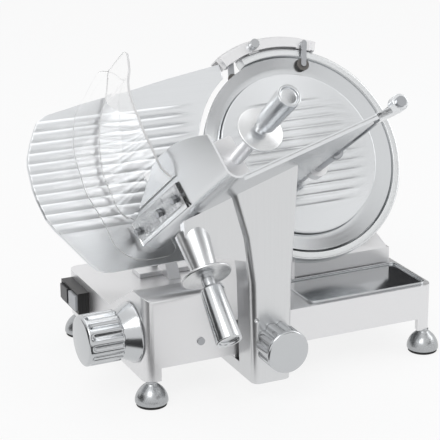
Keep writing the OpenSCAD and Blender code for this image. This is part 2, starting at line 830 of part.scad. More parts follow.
module slice_deflector() color("lightgray") at_blade() translate([0, 0, casting_front_o]) {
    rotate([0, 0, deflector_a0]) rotate_extrude(angle = deflector_a1 - deflector_a0)
        translate([deflector_r0, 0]) square([deflector_r1 - deflector_r0, deflector_t]);
}

// Switch, gland and the power parts inside the base
module switch_housing() color("black") difference() {
    union() {
        translate([base_x0 - switch_out, switch_y0, switch_z0]) cube([switch_out, switch_w, switch_h]);
        for (i = [0:switch_ridges - 1]) translate([base_x0 - switch_out + over + i * switch_ridge_pitch,
            switch_y0 - over / 2, switch_z0 + over])
            cube([switch_rim, switch_w + over, switch_h - 2 * over]);
        translate([base_x0, switch_y0 + switch_rim + body_gap, switch_z0 + switch_rim + body_gap])
            cube([switch_in, switch_w - 2 * (switch_rim + body_gap),
                switch_h - 2 * (switch_rim + body_gap)]);
    }
    for (y = button_ys) translate([base_x0 - switch_out - over, y - body_gap, button_z - body_gap])
        cube([button_l + button_travel + over, button_w + 2 * body_gap, button_h + 2 * body_gap]);
}

module push_button(y) translate([base_x0 - switch_out - button_out, y, button_z])
    cube([button_l + button_out - seat_gap, button_w, button_h]);
module start_button() color("lightgray") push_button(button_ys[0]);
module stop_button() color("gray") push_button(button_ys[1]);

module cable_gland() color("black") translate([base_x1, gland_y, gland_z]) rotate([0, -90, 0]) difference() {
    union() {
        translate([0, 0, -gland_l / 2 + over]) cylinder(r = gland_nut_r, h = gland_l / 2 - over, $fn = 6);
        cylinder(r = gland_r - fit_gap, h = gland_l);
        translate([0, 0, base_wall]) cylinder(r = gland_nut_r, h = base_wall, $fn = 6);
    }
    translate([0, 0, -gland_l]) cylinder(r = gland_bore_r, h = 3 * gland_l);
}

module capacitor() color("whitesmoke") translate([cap_x, cap_y, plate_z + plate_t + cap_r])
    rotate([0, 90, 0])
    cylinder(r = cap_r, h = cap_l);

module control_board() color("darkgreen") translate([board_x, board_y, plate_z + plate_t]) {
    for (x = [board_post, board_l - board_post], y = [board_post, board_w - board_post])
        translate([x, y, 0]) cylinder(r = board_post / 2, h = board_post);
    translate([0, 0, board_post]) cube([board_l, board_w, board_t]);
    translate([board_post, board_post, board_post + board_t - over / 2]) cube([relay_l, relay_w, relay_h]);
}

// Rails and slide
module rail_holes(r1, r2, l) {
    translate([0, rail_y, rail_z]) rotate([0, 90, 0]) cylinder(r = r1, h = l);
    translate([0, bar_y, rail_z]) rotate([0, 90, 0]) cylinder(r = r2, h = l);
}
module rail_brackets() color("gray") for (x = [base_x0 + base_wall, base_x1 - base_wall - bracket_t])
    translate([x, 0, 0]) difference() {
        translate([0, base_y0 + base_wall + body_gap, rail_z - bracket_h / 2])
            cube([bracket_t, block_y1 - base_y0 - base_wall - body_gap, bracket_h]);
        translate([-over, 0, 0]) rail_holes(rail_r + fit_gap, bar_r + fit_gap, bracket_t + 2 * over);
        for (p = foot_at) translate([p[0] - x, p[1], rail_z - bracket_h])
            cylinder(r = leg_boss_r + body_gap, h = 2 * bracket_h);
    }
module carriage_rail() color("lightgray") translate([base_x0 + base_wall + over, rail_y, rail_z])
    rotate([0, 90, 0])
    cylinder(r = rail_r, h = base_l - 2 * base_wall - 2 * over);
module guide_bar() color("lightgray") translate([base_x0 + base_wall + leg_w, bar_y, rail_z])
    rotate([0, 90, 0])
    cylinder(r = bar_r, h = base_l - 2 * base_wall - 2 * leg_w);

module slide_block() color("gray") difference() {
    translate([arm_x + seat_gap, block_y0, arm_z0 + arm_foot_t])
        cube([arm_w - 2 * seat_gap, block_y1 - block_y0,
            rail_z + rail_r + block_wall - arm_z0 - arm_foot_t]);
    translate([arm_x - over, 0, 0]) rail_holes(rail_r + bush_t + fit_gap, bar_r + seat_gap,
        arm_w + 2 * over);
}
module slide_bushes() color("goldenrod") for (x = [arm_x + over, arm_x + arm_w - over - bush_l])
    translate([x, rail_y, rail_z])
    rotate([0, 90, 0]) difference() {
        cylinder(r = rail_r + bush_t, h = bush_l);
        translate([0, 0, -over]) cylinder(r = rail_r + fit_gap, h = bush_l + 2 * over);
    }

// Carriage arm: an open-backed casting from the slide up to the food table
function arm_l(s) = arm_x + s[1] * arm_w;
function arm_rt(s) = arm_x + arm_w + s[2] * arm_w;
module arm_slab(s) translate([0, 0, arm_z0 + s[0] * arm_h]) for (x = [arm_l(s) + arm_r, arm_rt(s) - arm_r])
    translate([x, arm_y + arm_r, 0]) { cylinder(r = arm_r, h = over, $fn = hull_fn);
        translate([-arm_r, 0, 0]) cube([2 * arm_r, arm_depth - arm_r, over]); }

module carriage_arm() color("silver") difference() {
    union() {
        difference() {
            union() {
                for (i = [0:len(arm_shares) - 2]) hull()
                    { arm_slab(arm_shares[i]); arm_slab(arm_shares[i + 1]); }
                // Wing that carries the handle
                translate([0, arm_y + wing_t, 0]) rotate([90, 0, 0]) linear_extrude(wing_t - arm_wall)
                    polygon([[handle_x - boss_r, handle_z + boss_l * wing_shares[0]],
                        [handle_x + boss_r, handle_z + boss_l * wing_shares[1]], [arm_x, handle_z],
                        [arm_x, arm_z0 + arm_h * wing_shares[2]],
                            [handle_x - boss_top_r, arm_z0 + arm_h * wing_shares[2]]]);
                at_handle() translate([0, 0, -boss_l - disc_cone])
                    cylinder(r1 = boss_top_r, r2 = boss_r, h = boss_l);
                translate([lock_x, arm_y + arm_wall - over, lock_z]) rotate([-90, 0, 0])
                    cylinder(r = lock_boss_r, h = arm_depth - arm_wall);
            }
            // Open back
            difference() {
                translate([0, arm_y + arm_depth + over, 0]) rotate([90, 0, 0])
                    linear_extrude(arm_depth - arm_wall + over)
                    polygon(concat([for (s = arm_shares)
                        [arm_l(s) + arm_wall, arm_z0 + s[0] * arm_h + (s[0] == 0 ? arm_foot_t : 0)]],
                        [for (i = [len(arm_shares) - 1:-1:0]) [arm_rt(arm_shares[i]) - arm_wall,
                            arm_z0 + arm_shares[i][0] * arm_h + (i == 0 ? arm_foot_t : 0)]]));
                translate([lock_x, arm_y, lock_z]) rotate([-90, 0, 0])
                    cylinder(r = lock_boss_r, h = arm_depth);
            }
        }
        // Foot that runs under the rim to the slide block
        translate([arm_x, arm_y + arm_depth - over, arm_z0])
            cube([arm_w, block_y1 - arm_y - arm_depth + over, arm_foot_t]);
    }
    at_table() translate([-reach / 2, -table_t, -reach / 2]) cube(reach);
    translate([lock_x, arm_y - over, lock_z]) rotate([-90, 0, 0])
        cylinder(r = lock_stud_r + fit_gap, h = arm_depth + 2 * over);
    translate([arm_x + arm_dimple_r, arm_y, arm_dimple_z]) sphere(r = arm_dimple_r);
    at_handle() translate([0, 0, -disc_cone - neck_l]) cylinder(r = m5_r, h = boss_l);
}

module arm_lock_knob() color("silver") translate([lock_x, arm_y - seat_gap, lock_z]) rotate([90, 0, 0]) {
    fluted(lock_d, lock_l, knob_flutes, knob_dome, knob_lip);
    translate([0, 0, -arm_depth]) cylinder(r = lock_stud_r, h = arm_depth + over);
}

// Food table: floor, fold and end wall from one sheet
module table_section(f0) {
    translate([f0, -table_t]) square([table_l - f0, table_t]);
    if (f0 < 0) {
        difference() {
            translate([wall_f + fold_r, fold_r - table_t]) circle(r = fold_r);
            translate([wall_f + fold_r, fold_r - table_t]) circle(r = fold_r - table_t);
            translate([wall_f + fold_r, -reach / 2]) square(reach);
            translate([-reach / 2, fold_r - table_t]) square(reach);
        }
        translate([wall_f, fold_r - table_t]) square([table_t, table_wall_h]);
    }
}
module rod_ear(o, t) translate([0, 0, o]) {
    translate([rod_f, rod_h, 0]) cylinder(r = ear_r, h = t);
    translate([table_l - 2 * ear_r, -ear_r + rod_h, 0])
        cube([rod_f - table_l + 2 * ear_r, ear_r - rod_h + over, t]);
}
module food_table() color("silver") at_table() difference() {
    union() {
        intersection() {
            translate([0, 0, guard_o + guard_t + seat_gap])
                linear_extrude(table_reach - guard_o - guard_t - seat_gap)
                table_section(wall_f + fold_r);
            translate([reach / 2, 0, table_o]) rotate([0, -90, 0]) linear_extrude(reach)
                polygon(concat([[0, -fold_r], [0, wall_top_shares[0][1] * table_wall_h]],
                    scaled(wall_top_shares, table_reach - table_o, table_wall_h),
                    [[table_reach - table_o, -fold_r]]));
        }
        translate([table_notch_f, -table_t, table_o])
            cube([table_l - table_notch_f, table_t, guard_o + guard_t + over]);
        // Stiffening lip along the outer edge, and the ears that hold the rod
        translate([wall_f + fold_r, -lip_h, table_reach - hold_t])
            cube([table_l - wall_f - fold_r, lip_h - table_t + over / 2, hold_t]);
        rod_ear(rod_tail, ear_back_t);
        rod_ear(table_reach - ear_t, ear_t);
    }
    translate([rod_f, rod_h, 0]) translate([0, 0, rod_tail - over]) cylinder(r = rod_d / 2, h = table_reach);
    for (p = bolt_at) translate([wall_f - over, p[0], p[1]]) rotate([0, 90, 0])
        cylinder(r = bolt_r, h = table_t + 2 * over);
}

module pusher_rod() color("lightgray") at_table() translate([rod_f, rod_h, rod_tail]) {
    cylinder(d = rod_d - 2 * fit_gap, h = table_reach - rod_tail);
    translate([0, 0, table_reach - rod_tail]) cylinder(r = rod_head_r, h = rod_head_t);
}

// Clear guard: a flat lobe beside the gauge plate and a wall swept outwards from its fold
module hand_guard() color([0.85, 0.9, 0.92, 0.35]) difference() {
    union() {
        at_blade() {
            translate([0, 0, guard_o]) linear_extrude(guard_t)
                polygon(concat(scaled(guard_outer_shares, guard_w, guard_h),
                    scaled(guard_fold_shares, guard_w, guard_h)));
            intersection() {
                translate([0, 0, guard_o]) linear_extrude(guard_reach)
                    polygon(strip(scaled(guard_fold_shares, guard_w, guard_h), guard_t));
                translate([-guard_w - over, 0, guard_o]) rotate([0, 90, 0]) rotate([0, 0, 90])
                    linear_extrude(guard_w)
                    polygon(scaled(guard_edge_shares, guard_h, guard_reach - guard_o));
            }
        }
        at_table() translate([wall_f - guard_t, fold_r / 2, guard_o])
            cube([guard_t, flange_h, guard_reach - guard_o]);
    }
    at_table() for (p = bolt_at) translate([wall_f - guard_t - over, p[0], p[1]]) rotate([0, 90, 0])
        cylinder(r = bolt_r, h = guard_t + 2 * over);
}

module guard_bolts() color("darkgray") at_table() for (p = bolt_at) translate([wall_f, p[0], p[1]])
    rotate([0, 90, 0]) {
    translate([0, 0, -guard_t - nut_t]) cylinder(r = bolt_head_r, h = nut_t, $fn = 6);
    translate([0, 0, -guard_t - over]) cylinder(r = bolt_r - fit_gap, h = guard_t + table_t + over);
    translate([0, 0, table_t]) cylinder(r = bolt_head_r, h = bolt_head_t);
}

// Handles
module grip(l) difference() {
    rotate_extrude() polygon([[0, 0], [neck_r, 0], [neck_r, neck_l], [grip_r0, neck_l + grip_dish],
        [grip_r1, l - grip_dish], [grip_r1 - grip_dish, l], [0, l]]);
    translate([0, 0, l + grip_hollow_r - grip_dish]) sphere(r = grip_hollow_r);
    translate([0, 0, -over]) cylinder(r = m5_r + fit_gap, h = l / 2);
}
module finger_disc() {
    rotate_extrude() polygon([[0, 0], [neck_r + over, 0], [disc_d / 2, -disc_t],
        [disc_d / 2, -disc_t - disc_t],
        [boss_r, -disc_cone], [0, -disc_cone]]);
}
module carriage_handle() color("silver") at_handle() {
    grip(handle_l);
}
module carriage_disc() color("silver") at_handle() {
    finger_disc();
    translate([0, 0, -disc_cone - neck_l + over])
        cylinder(r = m5_r - fit_gap, h = neck_l + disc_cone + handle_l / 3);
}

module pusher_sleeve() color("silver") at_table() translate([rod_f, rod_h, sleeve_o]) difference() {
    union() {
        cylinder(r = sleeve_r, h = sleeve_l);
        for (z = [0, sleeve_l - collar_l]) translate([0, 0, z]) cylinder(r = collar_r, h = collar_l);
    }
    translate([0, 0, -over]) cylinder(r = rod_d / 2 + fit_gap, h = sleeve_l + 2 * over);
}

module pusher_plate() color("silver") {
    at_table() {
        translate([0, pusher_lift, pusher_o]) {
            translate([pusher_f, 0, 0]) linear_extrude(pusher_t) rrect(pusher_w, pusher_h, tooth_r);
            for (i = [0:tooth_cols - 1], j = [0:tooth_rows - 1])
                translate([pusher_f + pusher_w * (i + 0.5) / tooth_cols, pusher_h * (j + 0.5)
                    / tooth_rows, -tooth_h])
                    cylinder(r1 = tooth_r / 8, r2 = tooth_r, h = tooth_h, $fn = 4 * 4);
            difference() {
                union() {
                    translate([pusher_f + pusher_w / 2, 0, pusher_t - over])
                        cube([rod_f - pusher_f - pusher_w / 2, arm_bar_h, arm_bar_t]);
                    translate([rod_f, rod_h - pusher_lift, pusher_t - over])
                        cylinder(r = arm_bar_h + over, h = arm_bar_t);
                }
                translate([rod_f, rod_h - pusher_lift, 0])
                    cylinder(r = sleeve_r + fit_gap, h = arm_bar_t * 2);
            }
        }
    }
    at_stem() cylinder(r = stem_r, h = pusher_disc_at - disc_cone);
}
module pusher_handle() color("silver") at_stem() translate([0, 0, pusher_disc_at]) grip(pusher_grip_l);
module pusher_disc() color("silver") at_stem() translate([0, 0, pusher_disc_at]) {
    finger_disc();
    translate([0, 0, -disc_cone]) cylinder(r = m5_r - fit_gap, h = disc_cone + handle_l / 3);
}

// Gauge plate, its carrier and the sliding rod
module gauge_plate() color("silver") at_blade() difference() {
    union() {
        translate([0, 0, gauge_back_o - gauge_t]) linear_extrude(gauge_t)
            polygon(scaled(gauge_shares, gauge_l, gauge_top));
        intersection() {
            translate([0, 0, gauge_back_o - gauge_t]) linear_extrude(gauge_t + rib_h)
                polygon(scaled(gauge_shares, gauge_l, gauge_top));
            for (i = [0:gauge_rib_count - 1])
                translate([gauge_rib_x0_share * gauge_l, gauge_rib_m - i * rib_pitch, gauge_back_o - over])
                cube([(gauge_rib_x1_share - gauge_rib_x0_share) * gauge_l, gauge_rib_t, rib_h + over]);
        }
    }
    translate([0, 0, -reach / 2]) cylinder(r = blade_r + gauge_arc_gap, h = reach);
}
module gauge_carrier() color("gray") {
    at_blade() translate([0, 0, gauge_back_o - gauge_t]) mirror([0, 0, 1]) difference() {
        union() {
            for (x = [-1, 1]) translate([gauge_x - gauge_web_t / 2 + x * sleeve_out_r,
                gauge_m - gauge_web_h, 0])
                cube([gauge_web_t, gauge_top - gauge_m + gauge_web_h - 2 * gauge_web_h, gauge_web_t]);
            translate([gauge_x, gauge_m, 0]) cylinder(r = sleeve_out_r, h = gauge_web_h);
            translate([gauge_x - gauge_web_h, gauge_m - gauge_web_t, 0])
                cube([2 * gauge_web_h, 2 * gauge_web_t, gauge_web_t]);
        }
        translate([gauge_x, gauge_m, -over]) cylinder(r = gauge_rod_r + fit_gap, h = gauge_web_h + 2 * over);
    }
}
module gauge_rod() color("lightgray") {
    at_blade() translate([gauge_x, gauge_m, gauge_rod_o])
        cylinder(r = gauge_rod_r, h = -gauge_rod_o + gauge_back_o - gauge_t);
    // Leg through the deck and the follower that the dial's cam pushes
    translate([blade_x + gauge_x - leg_w2 / 2, leg_y, follow_z]) cube([leg_w2, leg_t, leg_top - follow_z]);
    translate([follow_x, leg_y, follow_z]) cube([blade_x + gauge_x - follow_x, leg_t, follow_h]);
    translate([follow_x, follow_y, follow_z]) cube([follow_w, leg_y - follow_y + over, follow_h]);
    translate([follow_x, follow_y, follow_z]) cube([follow_w, follow_h, follow_pad_h]);
}
module gauge_guide() color("gray") difference() {
    union() {
        at_blade() translate([gauge_x, gauge_m, guide_o0])
            cylinder(r = sleeve_out_r, h = guide_o1 - guide_o0);
        intersection() {
            at_blade() translate([gauge_x - gauge_web_t, gauge_m - guide_web, guide_o0])
                cube([2 * gauge_web_t, guide_web, guide_o1 - guide_o0]);
            translate([-reach / 2, -reach / 2, deck_z]) cube(reach);
        }
        translate([blade_x + gauge_x - guide_foot_l / 2, guide_y, deck_z])
            cube([guide_foot_l, guide_foot_w, guide_foot_t]);
    }
    at_blade() translate([gauge_x, gauge_m, guide_o0 - over])
        cylinder(r = gauge_rod_r + fit_gap, h = guide_o1 - guide_o0 + 2 * over);
    translate([-reach / 2, -reach / 2, deck_z - reach]) cube(reach);
}

// Dial
module along_dial() translate([base_x0, dial_y, dial_z]) rotate([0, -90, 0]) children();
module knob_bushing() color("gray") along_dial() difference() {
    union() {
        translate([0, 0, -base_wall - bush_head_t]) cylinder(r = bush_head_r, h = bush_head_t);
        translate([0, 0, -base_wall]) cylinder(r = bush_r - fit_gap, h = base_wall);
    }
    translate([0, 0, -base_wall - bush_head_t - over])
        cylinder(r = shaft2_r + fit_gap, h = base_wall + bush_head_t + 2 * over);
}
module dial_cone() color("silver") along_dial() difference() {
    translate([0, 0, body_gap]) rotate_extrude()
        polygon([[0, 0], [dial_d / 2, 0], [dial_d / 2, dial_edge],
        [knob_d / 2 - knob_lip, dial_l - body_gap], [0, dial_l - body_gap]]);
    cylinder(r = shaft2_r + fit_gap, h = 3 * dial_l, center = true);
}
module thickness_knob() color("silver") along_dial() translate([0, 0, dial_l]) difference() {
    fluted(knob_d, knob_l, knob_flutes, knob_dome, knob_lip);
    translate([0, 0, -over]) cylinder(r = shaft2_r + fit_gap, h = knob_l / 2);
}
module dial_shaft() color("gray") {
    along_dial() translate([0, 0, base_x0 - cam_x - cam_t - over])
        cylinder(r = shaft2_r, h = cam_x + cam_t - base_x0 + over + dial_l + knob_l / 3);
    translate([cam_x, dial_y, dial_z]) along_x() linear_extrude(cam_t)
        polygon(concat([for (a = [0:6:cam_turn])
        (cam_r0 + cam_rise * a / cam_turn) * [cos(a), sin(a)]],
        [for (a = [cam_turn + cam_step, 350]) cam_r0 * [cos(a), sin(a)]]));
}

// Sharpener
module sharp_section() polygon([[ring_r1 + sharp_gap, sharp_o0], [sharp_r1, sharp_o0],
    [sharp_r1, sharp_o1 - sharp_chamfer],
    [sharp_r1 - sharp_chamfer / 2, sharp_o1], [ring_r1 + sharp_gap, sharp_o1]]);
module sharpener_body() color("silver") at_blade() difference() {
    union() {
        rotate([0, 0, sharp_a0]) rotate_extrude(angle = sharp_a1 - sharp_a0) sharp_section();
        rotate([0, 0, clamp_a - sharp_jaw]) rotate_extrude(angle = 2 * sharp_jaw)
            translate([ring_r1 + seat_gap, sharp_o0]) square([sharp_gap + over, -sharp_o0]);
    }
    polar(pin_at_r, hone_a) translate([0, 0, sharp_o0 - over])
        cylinder(r = pin_r + fit_gap, h = sharp_o1 - sharp_o0 + 2 * over);
    polar(pin_at_r, grind_a) translate([0, 0, grind_arm_o])
        cylinder(r = pin_r + fit_gap, h = grind_pin_o + button_gap - grind_arm_o);
    // Pockets for the arms of the two stones
    rotate([0, 0, grind_a - grind_pocket]) translate([0, 0, sharp_o0 - over])
        rotate_extrude(angle = 3 * grind_pocket)
        translate([ring_r1, 0]) square([pin_at_r + 2 * pin_r - ring_r1,
            grind_arm_o - sharp_o0 + 2 * stone_arm_t]);
    rotate([0, 0, hone_a - hone_pocket]) translate([0, 0, ring_front])
        rotate_extrude(angle = 2 * hone_pocket)
        translate([ring_r1, 0]) square([pin_at_r + 2 * pin_r - ring_r1, sharp_o1]);
    polar(pin_at_r, clamp_a) translate([0, 0, 0]) cylinder(r = pin_r + fit_gap, h = sharp_o1 + over);
}
module sharpener_knob() color("lightgray") at_blade() polar(pin_at_r, clamp_a) translate([0, 0, over]) {
    cylinder(r = pin_r, h = sharp_o1);
    translate([0, 0, sharp_o1 - over + seat_gap]) cylinder(r = clamp_r, h = clamp_t);
}
module stone_arm(a0, a1, r1, o0, t) {
    p = pin_at_r * [cos(a0), sin(a0)];
    q = r1 * [cos(a1), sin(a1)];
    d = (q - p) / norm(q - p);
    n = [-d[1], d[0]] * pin_r;
    translate([0, 0, o0]) linear_extrude(t) polygon([p + n, p - n, q - n, q + n]);
    translate([p[0], p[1], o0]) cylinder(r = pin_r, h = t);
    translate([q[0], q[1], o0]) cylinder(r = pin_r, h = t);
}
module grind_pusher() color("gray") at_blade() {
    polar(pin_at_r, grind_a) translate([0, 0, sharp_o0 - button_gap - button_t]) {
        cylinder(r = button_r, h = button_t);
        cylinder(r = pin_r, h = grind_pin_o - sharp_o0 + button_gap + button_t);
    }
    stone_arm(grind_a, grind_wheel_a, grind_at_r, grind_arm_o, stone_arm_t);
    polar(grind_at_r, grind_wheel_a) translate([0, 0, grind_arm_o])
        cylinder(r = stone_pin_r, h = stone_arm_t + stone_t);
}
module grind_wheel() color("rosybrown") at_blade() polar(grind_at_r, grind_wheel_a)
    translate([0, 0, grind_arm_o + stone_arm_t + seat_gap]) difference() {
        cylinder(r = grind_wheel_r, h = stone_t);
        translate([0, 0, -over]) cylinder(r = stone_pin_r + fit_gap, h = stone_t + 2 * over);
    }
module hone_pusher() color("gray") at_blade() {
    polar(pin_at_r, hone_a) translate([0, 0, sharp_o0 - button_t]) {
        translate([0, 0, 0]) cylinder(r = pin_r, h = hone_arm_o - sharp_o0 + button_t + hone_arm_t);
        translate([0, 0, -button_gap]) cylinder(r = button_r, h = button_t);
    }
    stone_arm(hone_a, hone_a, hone_at_r, hone_arm_o, hone_arm_t);
    polar(hone_at_r, hone_a) translate([0, 0, hone_arm_o - hone_t - seat_gap])
        cylinder(r = stone_pin_r, h = hone_t + over);
}
module hone_wheel() color("rosybrown") at_blade() polar(hone_at_r, hone_a)
    translate([0, 0, hone_arm_o - hone_t - seat_gap / 2]) difference() {
        cylinder(r = hone_wheel_r, h = hone_t);
        translate([0, 0, -over]) cylinder(r = stone_pin_r + fit_gap, h = hone_t + 2 * over);
    }

base_housing();
bottom_plate();
feet();
foot_pads();
foot_studs();
deck_tray();
blade_pedestal();
ring_guard();
blade_cover();
cover_tie_rod();
slice_deflector();
switch_housing();
cable_gland();
motor();
capacitor();
control_board();
drive_belt();
hub_bearings();
carriage_rail();
guide_bar();
rail_brackets();
gauge_guide();
knob_bushing();
sharpener_body();
housing_screws();
pedestal_screws();
cover_knob();
blade();
blade_shaft();
blade_pulley();
blade_screws();
motor_pulley();
gauge_plate();
gauge_carrier();
gauge_rod();
thickness_knob();
dial_cone();
dial_shaft();
carriage_arm();
slide_block();
slide_bushes();
food_table();
hand_guard();
guard_bolts();
pusher_rod();
carriage_handle();
carriage_disc();
arm_lock_knob();
pusher_sleeve();
pusher_plate();
pusher_handle();
pusher_disc();
start_button();
stop_button();
sharpener_knob();
grind_pusher();
grind_wheel();
hone_pusher();
hone_wheel();
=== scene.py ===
"""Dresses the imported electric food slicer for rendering.

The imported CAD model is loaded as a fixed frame. Castings keep their CAD form with softened
edges, and turned, pressed and moulded pieces are surfaces worked out with numpy. Lengths are
in millimetres here and become metres where a mesh is made.
"""

import json
import logging
import math
from dataclasses import dataclass, field
from enum import Enum
from typing import Callable, Iterable, Optional

import bmesh
import bpy
import numpy as np
from mathutils import Matrix, Vector

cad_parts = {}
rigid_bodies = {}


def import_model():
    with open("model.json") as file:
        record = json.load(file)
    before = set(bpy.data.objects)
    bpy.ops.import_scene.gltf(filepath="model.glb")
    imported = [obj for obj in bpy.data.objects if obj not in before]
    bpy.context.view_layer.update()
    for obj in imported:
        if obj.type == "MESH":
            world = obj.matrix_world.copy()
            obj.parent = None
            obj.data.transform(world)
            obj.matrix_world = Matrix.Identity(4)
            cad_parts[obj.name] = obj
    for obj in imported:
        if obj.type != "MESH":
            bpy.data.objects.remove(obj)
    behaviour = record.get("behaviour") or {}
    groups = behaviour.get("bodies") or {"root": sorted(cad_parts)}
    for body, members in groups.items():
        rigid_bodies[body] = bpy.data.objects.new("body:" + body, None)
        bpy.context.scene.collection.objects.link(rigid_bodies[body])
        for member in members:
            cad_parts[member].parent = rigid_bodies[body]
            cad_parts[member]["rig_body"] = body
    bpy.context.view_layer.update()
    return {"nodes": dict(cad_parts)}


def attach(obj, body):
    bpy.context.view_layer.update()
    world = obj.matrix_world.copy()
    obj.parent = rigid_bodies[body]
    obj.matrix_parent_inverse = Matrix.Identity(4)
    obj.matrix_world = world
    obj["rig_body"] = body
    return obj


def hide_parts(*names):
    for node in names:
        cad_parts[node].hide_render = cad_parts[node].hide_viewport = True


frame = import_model()
LOG = logging.getLogger("slicer")
MM = 0.001
# Distances in metres under which points merge, in new pieces and in CAD copies
SEAM, CAD_SEAM = 2e-6, 4e-6
SLIVER = 1e-6
TINY = 1e-9
Array = np.ndarray
Profile = tuple[tuple[float, float], ...]
Triple = tuple[float, float, float]
Pair = tuple[float, float]
Piece = bpy.types.Object
Socket = bpy.types.NodeSocket
Sockets = bpy.types.bpy_prop_collection


# Places
@dataclass(frozen=True)
class Place:
    """A local frame: an origin in millimetres and three unit directions."""

    origin: Triple
    ax: Triple = (1, 0, 0)
    ay: Triple = (0, 1, 0)
    az: Triple = (0, 0, 1)

    def world(self, points: Array) -> Array:
        """Turns local points (..., 3) in millimetres into model points in metres."""
        return (np.array(self.origin) + points @ np.array([self.ax, self.ay, self.az])) * MM

    def moved(self, x: float = 0, y: float = 0, z: float = 0) -> "Place":
        """The same directions with the origin moved along them."""
        step = np.array([x, y, z], float) @ np.array([self.ax, self.ay, self.az])
        return Place(tuple(np.array(self.origin) + step), self.ax, self.ay, self.az)

    def turned(self, degrees: float, about: str = "Z") -> "Place":
        """The frame turned about one of its own directions."""
        turn = np.array(Matrix.Rotation(math.radians(degrees), 3, about))
        return Place(self.origin, *map(tuple, turn.T @ np.array([self.ax, self.ay, self.az])))


# Lean of the blade from upright, slope of the table in the blade's plane, rise of the handle
TILT, SLOPE, RISE = 33.6, 15, 43.4
WORLD = Place((0, 0, 0))
BLADE = Place((104, 87, 228.5)).turned(90 - TILT, "X")
TABLE = BLADE.moved(-191, -85, 0).turned(SLOPE, "Z")
DIAL = Place((-165, -19, 78)).turned(-90, "Y")
GRIP = Place((-117, -122, 169)).turned(90 + RISE, "X")
STEM = BLADE.moved(-106, -8.4, 44).turned(4.6, "Y").turned(-8.6, "X")
# Axis of the pusher's rod in the table's frame, and the radius of what runs on it
ROD_AT = (186, 1.2)
ROD_BORE = 4.55


# Colour and shader nodes
def linear(hex_colour: str) -> tuple[float, float, float, float]:
    """Turns an sRGB colour such as "d8d9da" into linear RGBA."""
    c = np.array([int(hex_colour[i : i + 2], 16) for i in (0, 2, 4)]) / 255
    return (*np.where(c <= 0.04045, c / 12.92, ((c + 0.055) / 1.055) ** 2.4).tolist(), 1.0)


class Graph:
    """The shader nodes of one material or world."""

    def __init__(self, owner: bpy.types.Material | bpy.types.World) -> None:
        """Opens the nodes of a material or world."""
        owner.use_nodes = True
        self.tree = owner.node_tree

    def add(self, kind: str, inputs: Optional[dict] = None, **settings: object) -> Sockets:
        """Adds one node.

        Args:
            kind: The node's type, less its first word ShaderNode.
            inputs: Socket names or numbers, each with a value or with the socket to link from.
            settings: Properties of the node itself.

        Returns:
            The node's outputs.
        """
        node = self.tree.nodes.new("ShaderNode" + kind)
        for name, value in settings.items():
            setattr(node, name, value)
        self.feed(node, inputs or {})
        return node.outputs

    def feed(self, node: bpy.types.Node, inputs: dict) -> None:
        """Gives a node its inputs.

        Args:
            node: The node.
            inputs: Its inputs, as in add.
        """
        for name, value in inputs.items():
            if isinstance(value, Socket):
                self.tree.links.new(value, node.inputs[name])
            else:
                node.inputs[name].default_value = value

    def surface(self, inputs: dict) -> None:
        """Gives the surface shader its inputs."""
        self.feed(next(n for n in self.tree.nodes if n.type == "BSDF_PRINCIPLED"), inputs)


@dataclass(frozen=True)
class Finish:
    """A surface finish; a subclass adds the marks that its making leaves.

    One noise of size grit, in millimetres, raises the surface by relief, varies the
    roughness by vary and darkens the hollows by tint.
    """

    name: str
    colour: str
    rough: float
    metal: float = 0.0
    vary: float = 0.06
    grit: float = 0.5
    relief: float = 0.02
    octaves: float = 3
    tint: float = 0.05

    def material(self) -> bpy.types.Material:
        """Makes the material once.

        Returns:
            The material.
        """
        made = bpy.data.materials.get(self.name)
        if made is None:
            made = bpy.data.materials.new(self.name)
            colour = made.diffuse_color = linear(self.colour)
            graph = Graph(made)
            graph.surface({"Metallic": self.metal, "Base Color": colour, "Roughness": self.rough})
            self.dress(graph)
        return made

    def dress(self, graph: Graph) -> None:
        """Adds the pattern of this finish; the plain one is an even grain."""
        self.grain(graph, self.coords(graph, (self.grit,) * 3))

    def coords(self, graph: Graph, size: Triple, place: Place = WORLD) -> Socket:
        """Object coordinates seen from a place and divided by a pattern size.

        Args:
            graph: The nodes.
            size: Size of the pattern along the place's directions, in millimetres.
            place: The frame that the pattern follows.

        Returns:
            The coordinates.
        """
        axes = Matrix((place.ax, place.ay, place.az))
        spot = axes @ Vector(place.origin) * -MM
        here = graph.add("TexCoord")["Object"]
        at = graph.add("Mapping", {"Vector": here, "Location": spot, "Rotation": axes.to_euler()})[0]
        return graph.add("VectorMath", {0: at, 1: [1 / (s * MM) for s in size]}, operation="MULTIPLY")[0]

    def grain(self, graph: Graph, vector: Socket) -> None:
        """Lets one noise raise the surface and vary its colour and roughness.

        Args:
            graph: The nodes.
            vector: Coordinates in which the pattern is one unit across.
        """
        noise = graph.add("TexNoise", {"Vector": vector, "Scale": 1, "Detail": self.octaves})[0]
        low, high = max(self.rough - self.vary, 0.02), self.rough + self.vary
        rough = graph.add("MapRange", {0: noise, 3: low, 4: high})[0]
        colour = linear(self.colour)
        dark = [c * (1 - self.tint) for c in colour[:3]] + [1.0]
        mixed = graph.add("Mix", {0: noise, 6: dark, 7: colour}, data_type="RGBA")[2]
        graph.surface({"Roughness": rough, "Base Color": mixed, "Normal": self.bump(graph, noise)})

    def bump(self, graph: Graph, noise: Socket) -> Socket:
        """A normal that follows a noise of the finish's relief."""
        return graph.add("Bump", {"Height": noise, "Distance": self.relief * MM, "Strength": 1.0})[0]


@dataclass(frozen=True)
class Blasted(Finish):
    """Cast or bonded grit, bead blasted and sealed: a soft sheen over a fine even grit."""

    metal: float = 1.0
    grit: float = 0.9
    relief: float = 0.012
    octaves: float = 4
    tint: float = 0.04


